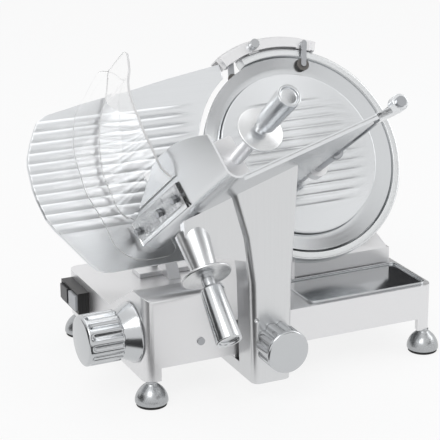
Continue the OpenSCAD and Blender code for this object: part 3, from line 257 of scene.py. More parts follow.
@dataclass(frozen=True)
class Brushed(Finish):
    """Sheet or bar brushed along one line: long fine scratches that draw light across them."""

    metal: float = 1.0
    vary: float = 0.03
    relief: float = 0.006
    tint: float = 0.07
    place: Place = WORLD
    lay: Triple = (60, 0.8, 0.8)

    def dress(self, graph: Graph) -> None:
        """Noise drawn out along the scratches, wide enough apart to show."""
        self.grain(graph, self.coords(graph, self.lay, self.place))


@dataclass(frozen=True)
class Turned(Finish):
    """A piece finished on the lathe: rings about its axis, and a highlight that fans out."""

    metal: float = 1.0
    relief: float = 0.004
    tint: float = 0.06
    place: Place = WORLD
    pitch: float = 0.9
    fan: float = 0.6

    def dress(self, graph: Graph) -> None:
        """Noise that depends on the distance from the axis and on the height along it.

        Args:
            graph: The nodes.
        """
        at = graph.add("SeparateXYZ", {0: self.coords(graph, (1, 1, 1), self.place)})
        flat = graph.add("CombineXYZ", {0: at[0], 1: at[1]})[0]
        radius = graph.add("VectorMath", {0: flat}, operation="LENGTH")["Value"]
        ring = graph.add("CombineXYZ", {0: radius, 1: at[2]})[0]
        scale = (1 / self.pitch,) * 3
        self.grain(graph, graph.add("VectorMath", {0: ring, 1: scale}, operation="MULTIPLY")[0])
        here = graph.add("TexCoord")["Object"]
        centre = [v * MM for v in self.place.origin]
        spoke = graph.add("VectorMath", {0: here, 1: centre}, operation="SUBTRACT")[0]
        round_it = graph.add("VectorMath", {0: self.place.az, 1: spoke}, operation="CROSS_PRODUCT")[0]
        tangent = graph.add("VectorMath", {0: round_it}, operation="NORMALIZE")[0]
        graph.surface({"Tangent": tangent, "Anisotropic": self.fan})


@dataclass(frozen=True)
class Moulded(Finish):
    """Moulded plastic, rubber or enamel: a faint fine grain under an even sheen."""

    grit: float = 0.7
    relief: float = 0.008
    octaves: float = 2
    ior: float = 1.5

    def dress(self, graph: Graph) -> None:
        """Fine grain of the mould wall."""
        graph.surface({"IOR": self.ior})
        super().dress(graph)


@dataclass(frozen=True)
class Clear(Finish):
    """Clear moulded polycarbonate: sees through, and shows by its edges and faint gloss."""

    through: float = 1.0
    ior: float = 1.49
    grit: float = 25.0
    dull: Pair = (-0.02, 0.03)

    def dress(self, graph: Graph) -> None:
        """Clear body with the faint waves that flow leaves in the mould.

        Args:
            graph: The nodes.
        """
        at = self.coords(graph, (self.grit,) * 3)
        wave = graph.add("TexNoise", {"Vector": at, "Scale": 1, "Detail": 1})[0]
        low, high = (self.rough + d for d in self.dull)
        rough = graph.add("MapRange", {0: wave, 3: low, 4: high})[0]
        graph.surface({"Transmission Weight": self.through, "IOR": self.ior})
        graph.surface({"Roughness": rough, "Normal": self.bump(graph, wave)})


# Sand-cast aluminium, blasted and sealed: the body and the pedestal
CAST = Blasted("cast_aluminium", "e0e1e2", 0.36)
# The same alloy, linished upright: the arm
ARM = Brushed("linished_aluminium", "dadbdc", 0.30, lay=(0.9, 30, 70), relief=0.0015)
# Anodised sheet and extrusion, brushed along the travel or the reach
PLATE = Brushed("anodised_brushed_aluminium", "dfe1e3", 0.33, place=BLADE, relief=0.002)
TABLE_SHEET = Brushed(
    "anodised_table_aluminium", "e0e2e4", 0.24, place=TABLE, lay=(0.9, 0.9, 50), relief=0.0015
)
# Turned pieces; the blade is hardened stainless, ground and polished on the wheel
COVER = Turned("turned_cover_aluminium", "dcdee0", 0.24, place=BLADE, fan=0.7)
BLADE_STEEL = Turned("polished_blade_steel", "d2d4d6", 0.18, place=BLADE, fan=0.8)
RING = Turned("turned_ring_aluminium", "dddfe0", 0.26, place=BLADE, fan=0.45)
KNOB = Turned("turned_knob_aluminium", "c4c6c8", 0.17, place=DIAL, fan=0.3)
LOCK = Turned(
    "turned_lock_aluminium", "c6c8ca", 0.17, fan=0.5, place=Place((-23, -100, 70)).turned(90, "X")
)
DISC_LOW = Turned("spun_disc_aluminium", "d6d7d8", 0.26, place=GRIP)
DISC_HIGH = Turned("spun_pusher_disc_aluminium", "d6d7d8", 0.26, place=STEM)
# Drawn bar, ground and hard chromed
CHROME = Brushed("hard_chrome_bar", "a9abae", 0.09, place=TABLE, lay=(0.8, 0.8, 20), relief=0.002)
CHROME_X = Brushed("hard_chrome_rail", "b4b6b8", 0.09, lay=(20, 0.8, 0.8), relief=0.002)
# Cold-rolled stainless sheet with a bright brushed face
STAINLESS = Brushed("bright_stainless_sheet", "c4c6c8", 0.13, vary=0.04)
ZINC = Finish("zinc_plated_steel", "a9abae", 0.32, 1.0)
SHEET_ZINC = Finish("galvanised_sheet", "9da0a3", 0.45, 1.0)
BRONZE = Finish("sintered_bronze", "b08a4a", 0.42, 1.0)
FOOT = Blasted("zinc_cast_grey_lacquer", "b2b4b6", 0.27, 0.9, 0.03, grit=0.5, relief=0.003)
# Bar turned and drawn through the belt: fine lines along the grip
GRIP_LOW = Brushed(
    "anodised_grip_aluminium", "cfd1d3", 0.22, place=GRIP, lay=(0.8, 0.8, 30), relief=0.003
)
GRIP_HIGH = Brushed(
    "anodised_pusher_grip", "cfd1d3", 0.22, place=STEM, lay=(0.8, 0.8, 30), relief=0.003
)
RUBBER = Moulded("nitrile_rubber", "1b1b1c", 0.75, ior=1.52)
BLACK = Moulded("black_polyamide", "0b0b0c", 0.33)
PAD = Moulded("light_grey_key_plastic", "b9bcbf", 0.34)
DARK_PAD = Moulded("dark_grey_key_plastic", "3a3b3d", 0.34)
WHITE = Moulded("white_polypropylene", "e8e8e4", 0.4)
BOARD = Moulded("green_glass_laminate", "1f5a34", 0.4)
ENAMEL = Moulded("black_motor_enamel", "1a1b1d", 0.3)
STONE = Blasted("bonded_grit_stone", "6f6c69", 0.9, 0.0, grit=0.5)
GLAZING = Clear("clear_polycarbonate", "ffffff", 0.02)
# The same sheet at its edges, whiter and less clear: a painted highlight where its edges catch the light
GLAZING_EDGE_HIGHLIGHT = Clear("polycarbonate_edge_painted_highlight", "ffffff", 0.3, through=0.35)


# Meshes
def fillet(points: Iterable[Pair], radii: float | Iterable[float], steps: int = 5) -> Array:
    """Rounds the inner corners of an open profile.

    Each corner becomes a quadratic curve from a point before it to a point after it, both a
    radius away or just under half the side, whichever is less.

    Args:
        points: The profile's corners.
        radii: One rounding for all corners, or one for each point.
        steps: Points along each rounding.

    Returns:
        The rounded profile as an array (n, 2).
    """
    most = 0.49
    p = np.array(list(points), float)
    r = np.broadcast_to(np.asarray(radii, float), len(p))
    back, ahead = p[:-2] - p[1:-1], p[2:] - p[1:-1]
    lb, la = np.linalg.norm(back, axis=1), np.linalg.norm(ahead, axis=1)
    reach = np.minimum(r[1:-1], np.minimum(lb, la) * most)
    a = p[1:-1] + back / np.maximum(lb, TINY)[:, None] * reach[:, None]
    c = p[1:-1] + ahead / np.maximum(la, TINY)[:, None] * reach[:, None]
    t = np.linspace(0, 1, steps)[None, :, None]
    curve = (1 - t) ** 2 * a[:, None] + 2 * t * (1 - t) * p[1:-1, None] + t**2 * c[:, None]
    return np.vstack([p[:1], curve.reshape(-1, 2), p[-1:]])


def smooth_line(points: Iterable[tuple[float, ...]], count: int) -> Array:
    """A Catmull-Rom curve through the points, sampled evenly by its parameter.

    Args:
        points: The points that the curve passes through.
        count: Number of samples.

    Returns:
        The samples as an array (count, k).
    """
    p = np.array(list(points), float)
    q = np.vstack([2 * p[0] - p[1], p, 2 * p[-1] - p[-2]])
    s = np.linspace(0, len(p) - 1 - TINY, count)
    i = s.astype(int)
    t = (s - i)[:, None]
    a, b, c, d = q[i], q[i + 1], q[i + 2], q[i + 3]
    bend, twist = 2 * a - 5 * b + 4 * c - d, 3 * b - a - 3 * c + d
    return 0.5 * (2 * b + (c - a) * t + bend * t**2 + twist * t**3)


def circle(count: int) -> Array:
    """Angles in radians, as a column, that divide a full turn."""
    return np.radians(np.arange(count) * (360 / count))[:, None]


def revolved(r: Array, z: Array, a: Array) -> Array:
    """Points (r cos a, r sin a, z) for radii, heights and angles."""
    return np.stack([r * np.cos(a), r * np.sin(a), z + 0 * a], -1)


def rounded_rim(d: Array, r: float) -> Array:
    """Fall of a rounded rim at a distance d from it: r less the root of r² less (r - d)²."""
    return r - np.sqrt(np.maximum(r**2 - np.maximum(r - d, 0) ** 2, 0))


def rib_wave(m: Array, first: float, pitch: float, count: int) -> Array:
    """Height from 0 to 1 of broad ribs that meet in narrow valleys.

    Across one pitch the height is 1 less the distance from the rib's middle line, as a share of
    half a pitch, raised to a power.

    Args:
        m: Positions across the ribs.
        first: Middle line of the first rib.
        pitch: Distance between ribs.
        count: Number of ribs.

    Returns:
        The heights.
    """
    fullness = 2.2
    k = np.clip(np.round((first - m) / pitch), 0, count - 1)
    return 1 - np.minimum(np.abs(m - (first - k * pitch)) / (pitch / 2), 1) ** fullness


def step_up(x: Array, start: float, end: float) -> Array:
    """A smooth step from 0 at start to 1 at end."""
    t = np.clip((x - start) / (end - start), 0, 1)
    return t * t * (3 - 2 * t)


@dataclass
class Shape:
    """Points in metres and faces, gathered from one or more surfaces."""

    points: list[Array] = field(default_factory=list)
    faces: list[list[int]] = field(default_factory=list)
    rims: list[int] = field(default_factory=list)
    count: int = 0

    def add_grid(
        self, grid: Array, close_rows: bool = False, close_cols: bool = False, caps: bool = False,
        rim: tuple[int, ...] = (),
    ) -> "Shape":
        """Adds a grid of points (rows, cols, 3).

        Args:
            grid: The points in metres.
            close_rows: Whether the last row joins the first.
            close_cols: Whether the last column joins the first.
            caps: Whether the first and last row get a flat end.
            rim: Columns whose faces, with the flat ends, take the second material.

        Returns:
            This shape.
        """
        rows, cols = grid.shape[:2]
        i = np.arange(rows if close_rows else rows - 1)[:, None]
        j = np.arange(cols if close_cols else cols - 1)[None, :]
        low, high, j2 = i * cols, (i + 1) % rows * cols, (j + 1) % cols
        quads = np.stack([low + j, high + j, high + j2, low + j2], -1).reshape(-1, 4) + self.count
        if rim:
            marks = np.arange(len(quads)).reshape(len(i), -1)[:, list(rim)].ravel()
            ends = [len(quads), len(quads) + 1] if caps else []
            self.rims += (marks + len(self.faces)).tolist() + [e + len(self.faces) for e in ends]
        self.faces += quads.tolist()
        if caps:
            first = np.arange(cols) + self.count
            self.faces += [first.tolist(), (first[::-1] + (rows - 1) * cols).tolist()]
        self.points.append(grid.reshape(-1, 3))
        self.count += rows * cols
        return self

    def add_bar(
        self, place: Place, x: Pair, y: Pair, z: Pair, rounding: float, steps: int = 3
    ) -> None:
        """Adds a straight bar of rectangular section.

        Args:
            place: Frame whose third direction runs along the bar.
            x: Sides of the section along the first direction.
            y: Sides along the second direction.
            z: Start and end of the bar.
            rounding: Rounding of its long edges but the first.
            steps: Points along each rounding.
        """
        corners = [(x[0], y[0]), (x[1], y[0]), (x[1], y[1]), (x[0], y[1]), (x[0], y[0])]
        ring = fillet(corners, rounding, steps)[:-1]
        depth = np.array(z)[:, None]
        rings = np.stack([ring[:, 0] + 0 * depth, ring[:, 1] + 0 * depth, depth + 0 * ring[:, 0]], -1)
        self.add_grid(place.world(rings), close_cols=True, caps=True)

    def mesh(self, name: str, sharp: float = 32) -> Piece:
        """Makes the object: merges seams and poles, turns faces outwards, keeps sharp edges.

        Args:
            name: The piece's name.
            sharp: Angle in degrees above which an edge stays sharp.

        Returns:
            The object, at the origin.
        """
        data = bpy.data.meshes.new(name)
        data.from_pydata(np.vstack(self.points).tolist(), [], self.faces)
        slots = np.zeros(len(self.faces), np.int32)
        slots[self.rims] = 1
        data.polygons.foreach_set("material_index", slots)
        work = bmesh.new()
        work.from_mesh(data)
        bmesh.ops.remove_doubles(work, verts=work.verts, dist=SEAM)
        bmesh.ops.dissolve_degenerate(work, edges=work.edges, dist=SLIVER)
        bmesh.ops.recalc_face_normals(work, faces=work.faces)
        return finish_bmesh(work, data, sharp)


def finish_bmesh(work: bmesh.types.BMesh, data: bpy.types.Mesh, sharp: float) -> Piece:
    """Writes a bmesh into its mesh, smooth but for sharp edges, and makes the object.

    Args:
        work: The bmesh, freed here.
        data: The mesh that it is written to.
        sharp: Angle in degrees above which an edge stays sharp.

    Returns:
        The object, linked to the scene.
    """
    limit = math.radians(sharp)
    for face in work.faces:
        face.smooth = True
    for edge in work.edges:
        edge.smooth = len(edge.link_faces) == 2 and edge.calc_face_angle(0.0) < limit
    work.to_mesh(data)
    work.free()
    made = bpy.data.objects.new(data.name, data)
    bpy.context.scene.collection.objects.link(made)
    return made


def ruled(rings: Array, place: Place) -> Shape:
    """A body through a row of closed rings (n, k, 3) in a place, with flat ends."""
    return Shape().add_grid(place.world(rings), close_cols=True, caps=True)


def lathe(
    profile: Array, place: Place, segments: int, sweep: Pair = (0, 360),
    radius: Optional[Callable[[Array, Array, Array], Array]] = None,
) -> Shape:
    """A surface of revolution about the place's third direction.

    Args:
        profile: Points (r, z) in millimetres; one at angle a lies at (r cos a, r sin a, z).
        place: The frame whose third direction is the axis.
        segments: Steps round.
        sweep: First and last angle in degrees.
        radius: Optional function of radius, angle and height that gives a new radius.

    Returns:
        The shape.
    """
    full = abs(sweep[1] - sweep[0]) >= 360
    a = np.radians(np.linspace(sweep[0], sweep[1], segments, endpoint=not full))[:, None]
    r, z = profile[None, :, 0] + 0 * a, profile[None, :, 1] + 0 * a
    if radius is not None:
        r = radius(r, a + 0 * r, z)
    grid = place.world(revolved(r, z, a))
    return Shape().add_grid(grid, close_rows=full, close_cols=not full, caps=not full)


def stand_for(piece: Piece, finish: Finish, node: str) -> None:
    """Gives a piece its finish and lets it stand for a CAD node, riding on its body.

    Args:
        piece: The new piece.
        finish: Its finish.
        node: The CAD node that it replaces.
    """
    piece.data.materials.append(finish.material())
    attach(piece, frame["nodes"][node]["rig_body"])
    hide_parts(node)
    LOG.info("%s stands for %s", piece.name, node)


def keep(finish: Finish, *nodes: str) -> None:
    """Lets CAD nodes show as they are, with a finish.

    Args:
        finish: The finish of all of them.
        nodes: The CAD nodes.
    """
    for name in nodes:
        data = frame["nodes"][name].data
        data.materials.clear()
        data.materials.append(finish.material())
        LOG.info("%s keeps its CAD form", name)


# Sub-assemblies
class Edge(Enum):
    """Width of the rounding on an edge, in millimetres."""

    FINE = 0.4
    SHEET = 0.7
    CAST = 1.6
    BROAD = 2.6


def soften(node: str, finish: Finish, edge: Edge, steps: int = 3, angle: float = 34) -> None:
    """Copies a CAD casting, joins its nearly flat faces, rounds its edges and dresses it.

    Args:
        node: The CAD node.
        finish: Its finish.
        edge: Width of the rounding.
        steps: Steps across the rounding.
        angle: Edges sharper than this, in degrees, are rounded.
    """
    nearly_flat = math.radians(0.6)
    data = frame["nodes"][node].data.copy()
    data.name = node + "_soft"
    work = bmesh.new()
    work.from_mesh(data)
    bmesh.ops.remove_doubles(work, verts=work.verts, dist=CAD_SEAM)
    bmesh.ops.dissolve_degenerate(work, edges=work.edges, dist=SLIVER)
    bmesh.ops.dissolve_limit(
        work, angle_limit=nearly_flat, verts=work.verts, edges=work.edges, delimit={"NORMAL"}
    )
    data.materials.clear()
    made = finish_bmesh(work, data, angle)
    bevel = made.modifiers.new("edge", "BEVEL")
    bevel.width = edge.value * MM
    bevel.segments = steps
    bevel.limit_method = "ANGLE"
    bevel.angle_limit = math.radians(angle)
    bevel.harden_normals = bevel.use_clamp_overlap = True
    stand_for(made, finish, node)


@dataclass(frozen=True)
class Knob:
    """A knob whose radius falls in rounded flutes that run out before its domed end.

    The bore is the radius of the blind bore, or of the stud, at its foot, and foot is the
    depth of the bore or, below zero, the length of the stud. The rim is the height of the
    plain foot and the band of radius that the flutes cut. The end is a share of the crown's
    radius and how far it lies below the tip there.
    """

    r: float
    length: float
    flutes: int
    depth: float
    bore: float
    dome: float = 3.0
    foot: float = 8.0
    rim: float = 1.2
    flute_share: float = 0.72
    dome_share: float = 0.75
    foot_in: Pair = (1, 0.3)
    end: Pair = (0.6, 0.16)
    runout: Pair = (0.5, 4.5)
    flute_steps: int = 16

    def line(self) -> Array:
        """The profile: from the axis by the foot and the side, over the dome to the axis.

        Returns:
            Points (r, z).
        """
        t = np.radians(np.linspace(0, 90, 9))
        crown, shoulder = self.r - self.dome, self.length - self.dome
        rise = self.dome * self.dome_share
        dome = np.stack([crown + self.dome * np.cos(t), shoulder + rise * np.sin(t)], -1)
        side = np.linspace(self.rim, shoulder, 26)
        (flat, bevel), (share, drop) = self.foot_in, self.end
        return np.vstack([
            [[0, self.foot], [self.bore, self.foot], [self.bore, 0]],
            [[self.r - flat, 0], [self.r - bevel, bevel]],
            np.stack([0 * side + self.r, side], -1)[:-1], dome,
            [[crown * share, self.length - drop], [0, self.length]],
        ])

    def grooves(self, radius: Array, angle: Array, height: Array) -> Array:
        """Radius less the depth times a cosine bump in the angle times a step in the height.

        Args:
            radius: Radii of the profile.
            angle: Angles in radians.
            height: Heights along the axis.

        Returns:
            The radii with the flutes cut.
        """
        phase = (angle * self.flutes / (2 * np.pi)) % 1.0
        across = np.clip((phase - 0.5) / self.flute_share, -0.5, 0.5)
        bump = 0.5 + 0.5 * np.cos(2 * np.pi * across)
        gap, fade = self.runout
        run = step_up(self.length - self.dome - gap - height, 0, fade)
        return radius - self.depth * bump * run * (radius > self.r - self.rim)

    def build(self, name: str, place: Place) -> Piece:
        """Turns the knob about the place's third direction."""
        shape = lathe(self.line(), place, self.flutes * self.flute_steps, radius=self.grooves)
        return shape.mesh(name, 40)


@dataclass
class Base:
    """The cast base, its tray, pedestal, feet and electrics."""

    foot_d: float = 38.5
    foot_top: float = 28.0
    pad_t: float = 3.0
    pad_round: float = 0.6
    form_steps: int = 40
    turn_steps: int = 72
    foot_form: Profile = (
        (0.92, 0), (0.985, 0.03), (1, 0.1), (0.98, 0.24), (0.9, 0.42), (0.74, 0.62),
        (0.55, 0.77), (0.4, 0.87), (0.34, 0.93), (0.34, 1),
    )
    feet_at: Profile = ((-156, -51), (-156, 181), (204, -51), (204, 181))

    def build(self) -> None:
        """Builds and dresses every piece of the base."""
        soften("base_housing", CAST, Edge.BROAD, 4)
        soften("blade_pedestal", CAST, Edge.BROAD, 4)
        soften("deck_tray", STAINLESS, Edge.SHEET)
        soften("switch_housing", BLACK, Edge.SHEET)
        soften("start_button", PAD, Edge.SHEET)
        soften("stop_button", DARK_PAD, Edge.SHEET)
        soften("cable_gland", BLACK, Edge.FINE)
        soften("rail_brackets", CAST, Edge.SHEET)
        soften("bottom_plate", SHEET_ZINC, Edge.FINE, 2)
        self.feet()
        keep(ZINC, "foot_studs", "housing_screws", "pedestal_screws", "hub_bearings", "cover_tie_rod")
        keep(CHROME_X, "carriage_rail", "guide_bar")
        keep(ENAMEL, "motor")
        keep(WHITE, "capacitor")
        keep(BOARD, "control_board")
        keep(RUBBER, "drive_belt")

    def feet(self) -> None:
        """Bell feet and their pads: profiles turned about an upright axis."""
        high = self.foot_top - self.pad_t
        form = smooth_line(self.foot_form, self.form_steps) * [self.foot_d / 2, high]
        bell = np.vstack([[[0, 0]], form, [[0, high]]])
        r = self.foot_d / 2 * self.foot_form[0][0]
        pad = fillet([(0, 0), (r, 0), (r, self.pad_t), (0, self.pad_t)], self.pad_round)
        feet, pads = Shape(), Shape()
        for x, y in self.feet_at:
            for shape, line, z in ((feet, bell, self.pad_t), (pads, pad, 0)):
                grid = revolved(line[:, 0], line[:, 1], circle(self.turn_steps))
                shape.add_grid(Place((x, y, z)).world(grid), close_rows=True)
        stand_for(feet.mesh("bell_feet"), FOOT, "feet")
        stand_for(pads.mesh("round_pads"), RUBBER, "foot_pads")


@dataclass
class BladeUnit:
    """Blade, guard ring, cover and the parts behind them.

    A line is a profile of points (radius, height) in the blade's frame, and round holds one
    rounding for each of its points.
    """

    blade_line: Profile = (
        (20, -10), (38, -10), (87, -6.2), (106, -4.2), (125, 0), (125, -0.4), (120.3, -3),
        (106, -7.2), (87, -9.2), (38, -13), (20, -13), (20, -10),
    )
    blade_round: tuple[float, ...] = (0, 4, 12, 6, 0, 0, 3, 6, 12, 4, 0, 0)
    ring_line: Profile = (
        (127.8, -6), (127.8, 1.4), (137, 1.4), (137, -18), (117.8, -18), (117.8, -14),
        (127.8, -14), (127.8, -6),
    )
    ring_round: tuple[float, ...] = (0, 0.8, 2.2, 2.0, 0.8, 0.8, 1.5, 0)
    ring_sweep: Pair = (-120, 110)
    cover_r: float = 103.5
    cover_top: float = 1.4
    cover_rim: float = 1.2
    cover_steps: int = 400
    hub_line: Profile = ((14, -2.6), (14, -7.5), (4.1, -7.5), (4.1, -0.5), (0, -0.5))
    hub_round: float = 0.4
    rib_h: float = 0.7
    ribs: tuple[float, float, int] = (75.0, 12.5, 13)
    bare_rim: float = 6.0
    rim_fade: float = 30.0
    rib_end: float = 78.0
    end_fade: float = 16.0
    rear_knob: Knob = Knob(r=18, length=20, flutes=14, depth=1.3, bore=4.05)
    rear_at: Place = BLADE.moved(z=-86.3).turned(180, "X")

    def build(self) -> None:
        """Builds and dresses the blade group."""
        edge = fillet(self.blade_line, self.blade_round)
        stand_for(lathe(edge, BLADE, 256).mesh("ground_blade", 20), BLADE_STEEL, "blade")
        ring = fillet(self.ring_line, self.ring_round)[:-1]
        ring_piece = lathe(ring, BLADE, 200, self.ring_sweep).mesh("guard_ring", 30)
        stand_for(ring_piece, RING, "ring_guard")
        self.cover()
        keep(ZINC, "blade_shaft", "blade_screws", "motor_pulley")
        keep(ENAMEL, "blade_pulley")
        soften("slice_deflector", STAINLESS, Edge.FINE, 2)
        stand_for(self.rear_knob.build("rear_knob", self.rear_at), BLACK, "cover_knob")

    def cover(self) -> None:
        """The cover disc: polar grid whose height is a rounded rim and a set of ribs.

        The ribs run along the travel and fade out before the rim, and above and below.
        """
        flat_r = self.cover_r - self.cover_rim
        inner = np.linspace(0, flat_r, 100)
        over = np.radians(np.linspace(0, 90, 6)[1:])
        r = np.concatenate([inner, flat_r + self.cover_rim * np.sin(over)])
        drop = np.concatenate([0 * inner, self.cover_rim - self.cover_rim * np.cos(over)])
        a = circle(self.cover_steps)
        x, m = r * np.cos(a), r * np.sin(a)
        fade = step_up(self.cover_r - self.bare_rim - r, 0, self.rim_fade)
        fade = fade * step_up(self.rib_end - np.abs(m), 0, self.end_fade)
        wave = rib_wave(m, *self.ribs)
        top = np.stack([x, m, self.cover_top - drop + self.rib_h * fade * wave], -1)
        low = fillet([(self.cover_r, self.hub_line[0][1]), *self.hub_line], self.hub_round, 3)
        grid = np.concatenate([top, revolved(low[:, 0], low[:, 1], a)], 1)
        shape = Shape().add_grid(BLADE.world(grid), close_rows=True)
        stand_for(shape.mesh("ribbed_cover", 40), COVER, "blade_cover")


@dataclass
class Gauge:
    """The ribbed gauge plate and what it slides on."""

    reach: float = 345.0
    top: float = 126.0
    face: float = -1.2
    thick: float = 5.0
    gap_r: float = 131.0
    rim: float = 1.1
    rows: int = 380
    least_w: float = 0.3
    tip: float = 0.05
    rib_h: float = 1.4
    ribs: tuple[float, float, int] = (74.1, 12.5, 11)
    rib_fade: Pair = (-168, -112)
    side_x: Pair = (-71.07, -75.9)
    outline: Profile = (
        (-0.22, 1), (-0.429, 0.913), (-0.557, 0.849), (-0.701, 0.786), (-0.777, 0.754), (-0.9, 0.69),
        (-0.936, 0.635), (-0.95, 0.571), (-0.974, 0.444), (-0.994, 0.31), (-1, 0.23), (-1, 0.016),
        (-0.994, -0.103), (-0.977, -0.294), (-0.954, -0.413), (-0.928, -0.508), (-0.867, -0.754),
        (-0.843, -0.83), (-0.815, -0.865), (-0.79, -0.873),
    )

    def build(self) -> None:
        """Builds the plate and dresses its carrier, rod and guide."""
        self.plate()
        soften("gauge_carrier", CAST, Edge.SHEET)
        soften("gauge_guide", CAST, Edge.SHEET)
        soften("gauge_rod", CHROME_X, Edge.FINE, 2)

    def plate(self) -> None:
        """The plate: rows across the outline from its left edge to the arc about the blade.

        A row at height m runs from the outline to the arc; its face is raised by rounded ribs
        that fade towards the blade, and falls at both ends in a small quarter round.
        """
        form = np.array(self.outline) * [self.reach, self.top]
        m = np.linspace(form[-1, 1], form[0, 1] - self.tip, self.rows)
        left = np.interp(m, form[::-1, 1], form[::-1, 0])
        side = np.interp(m, [form[-1, 1], form[0, 1]], self.side_x)
        right = np.minimum(side, -np.sqrt(np.maximum(self.gap_r**2 - m**2, 0)))
        right = np.maximum(right, left + self.least_w)
        share = np.concatenate([[0, 0.002, 0.006], np.linspace(0.012, 0.988, 84), [0.994, 0.998, 1]])
        x = left[:, None] + (right - left)[:, None] * share
        edge = rounded_rim(np.minimum(x - left[:, None], right[:, None] - x), self.rim)
        fade = 1 - step_up(x, *self.rib_fade)
        wave = rib_wave(m[:, None], *self.ribs)
        up = m[:, None] + 0 * x
        face = np.stack([x, up, self.face + self.rib_h * fade * wave - edge], -1)
        back = np.stack([x, up, 0 * x + self.face - self.thick], -1)[:, ::-1]
        shape = ruled(np.concatenate([face, back], 1), BLADE)
        stand_for(shape.mesh("ribbed_plate", 40), PLATE, "gauge_plate")


@dataclass
class Dial:
    """The thickness dial: fluted knob, cone and shaft."""

    knob: Knob = Knob(r=29.5, length=43.5, flutes=14, depth=2.8, bore=6.05, dome=4.0, foot=18.0)
    cone_r: float = 35.5
    cone_l: float = 20.0
    cone_foot: float = 0.5
    cone_rim: float = 2.5
    inset: float = 3.0

    def build(self) -> None:
        """Builds the knob and the cone."""
        knob = self.knob.build("dial_knob", DIAL.moved(z=self.cone_l))
        stand_for(knob, KNOB, "thickness_knob")
        bore, foot = self.knob.bore, self.cone_foot
        cone = fillet(
            [(bore, foot), (self.cone_r, foot), (self.cone_r, self.cone_rim),
             (self.knob.r - self.inset, self.cone_l), (bore, self.cone_l), (bore, foot)],
            [0, 0.5, 0.8, 0.6, 0, 0])
        stand_for(lathe(cone, DIAL, 128).mesh("dial_skirt", 30), KNOB, "dial_cone")
        keep(ZINC, "dial_shaft")
        keep(BRONZE, "knob_bushing")


@dataclass
class Handle:
    """A plain grip with a finger disc, of the carriage or of the pusher."""

    name: str
    length: float
    place: Place
    bar: Finish
    sheet: Finish
    neck_r: float = 7.5
    neck_l: float = 10.0
    collar: float = 1.6
    r0: float = 12.6
    r1: float = 14.75
    lip: Pair = (3.4, 4.4)
    dish: Pair = (3.2, 3.6)
    disc_r: float = 28.5
    disc_z: Triple = (-3, -6, -7)
    hub_r: float = 14.0

    def build(self) -> None:
        """Builds a swelling barrel with a dished end, and a spun cone with a rolled edge."""
        grip = fillet(
            [(0, 0), (self.neck_r, 0), (self.neck_r, self.neck_l), (self.r0, self.neck_l + self.collar),
             (self.r1, self.length), (self.r1 - self.lip[0], self.length),
             (self.r1 - self.lip[1], self.length - self.dish[0]), (0, self.length - self.dish[1])],
            [0, 0.5, 1.5, 2.0, 1.6, 1.2, 1.4, 0], 7)
        piece = lathe(grip, self.place, 96).mesh(self.name + "_grip", 30)
        stand_for(piece, self.bar, self.name + "_handle")
        front, rear, hub = self.disc_z
        disc = fillet(
            [(0, 0), (self.neck_r + 1, 0), (self.disc_r, front), (self.disc_r, rear),
             (self.hub_r, hub), (0, hub)],
            [0, 1.2, 1.5, 1.5, 1, 0], 6)
        piece = lathe(disc, self.place, 128).mesh(self.name + "_finger_disc", 30)
        stand_for(piece, self.sheet, self.name + "_disc")


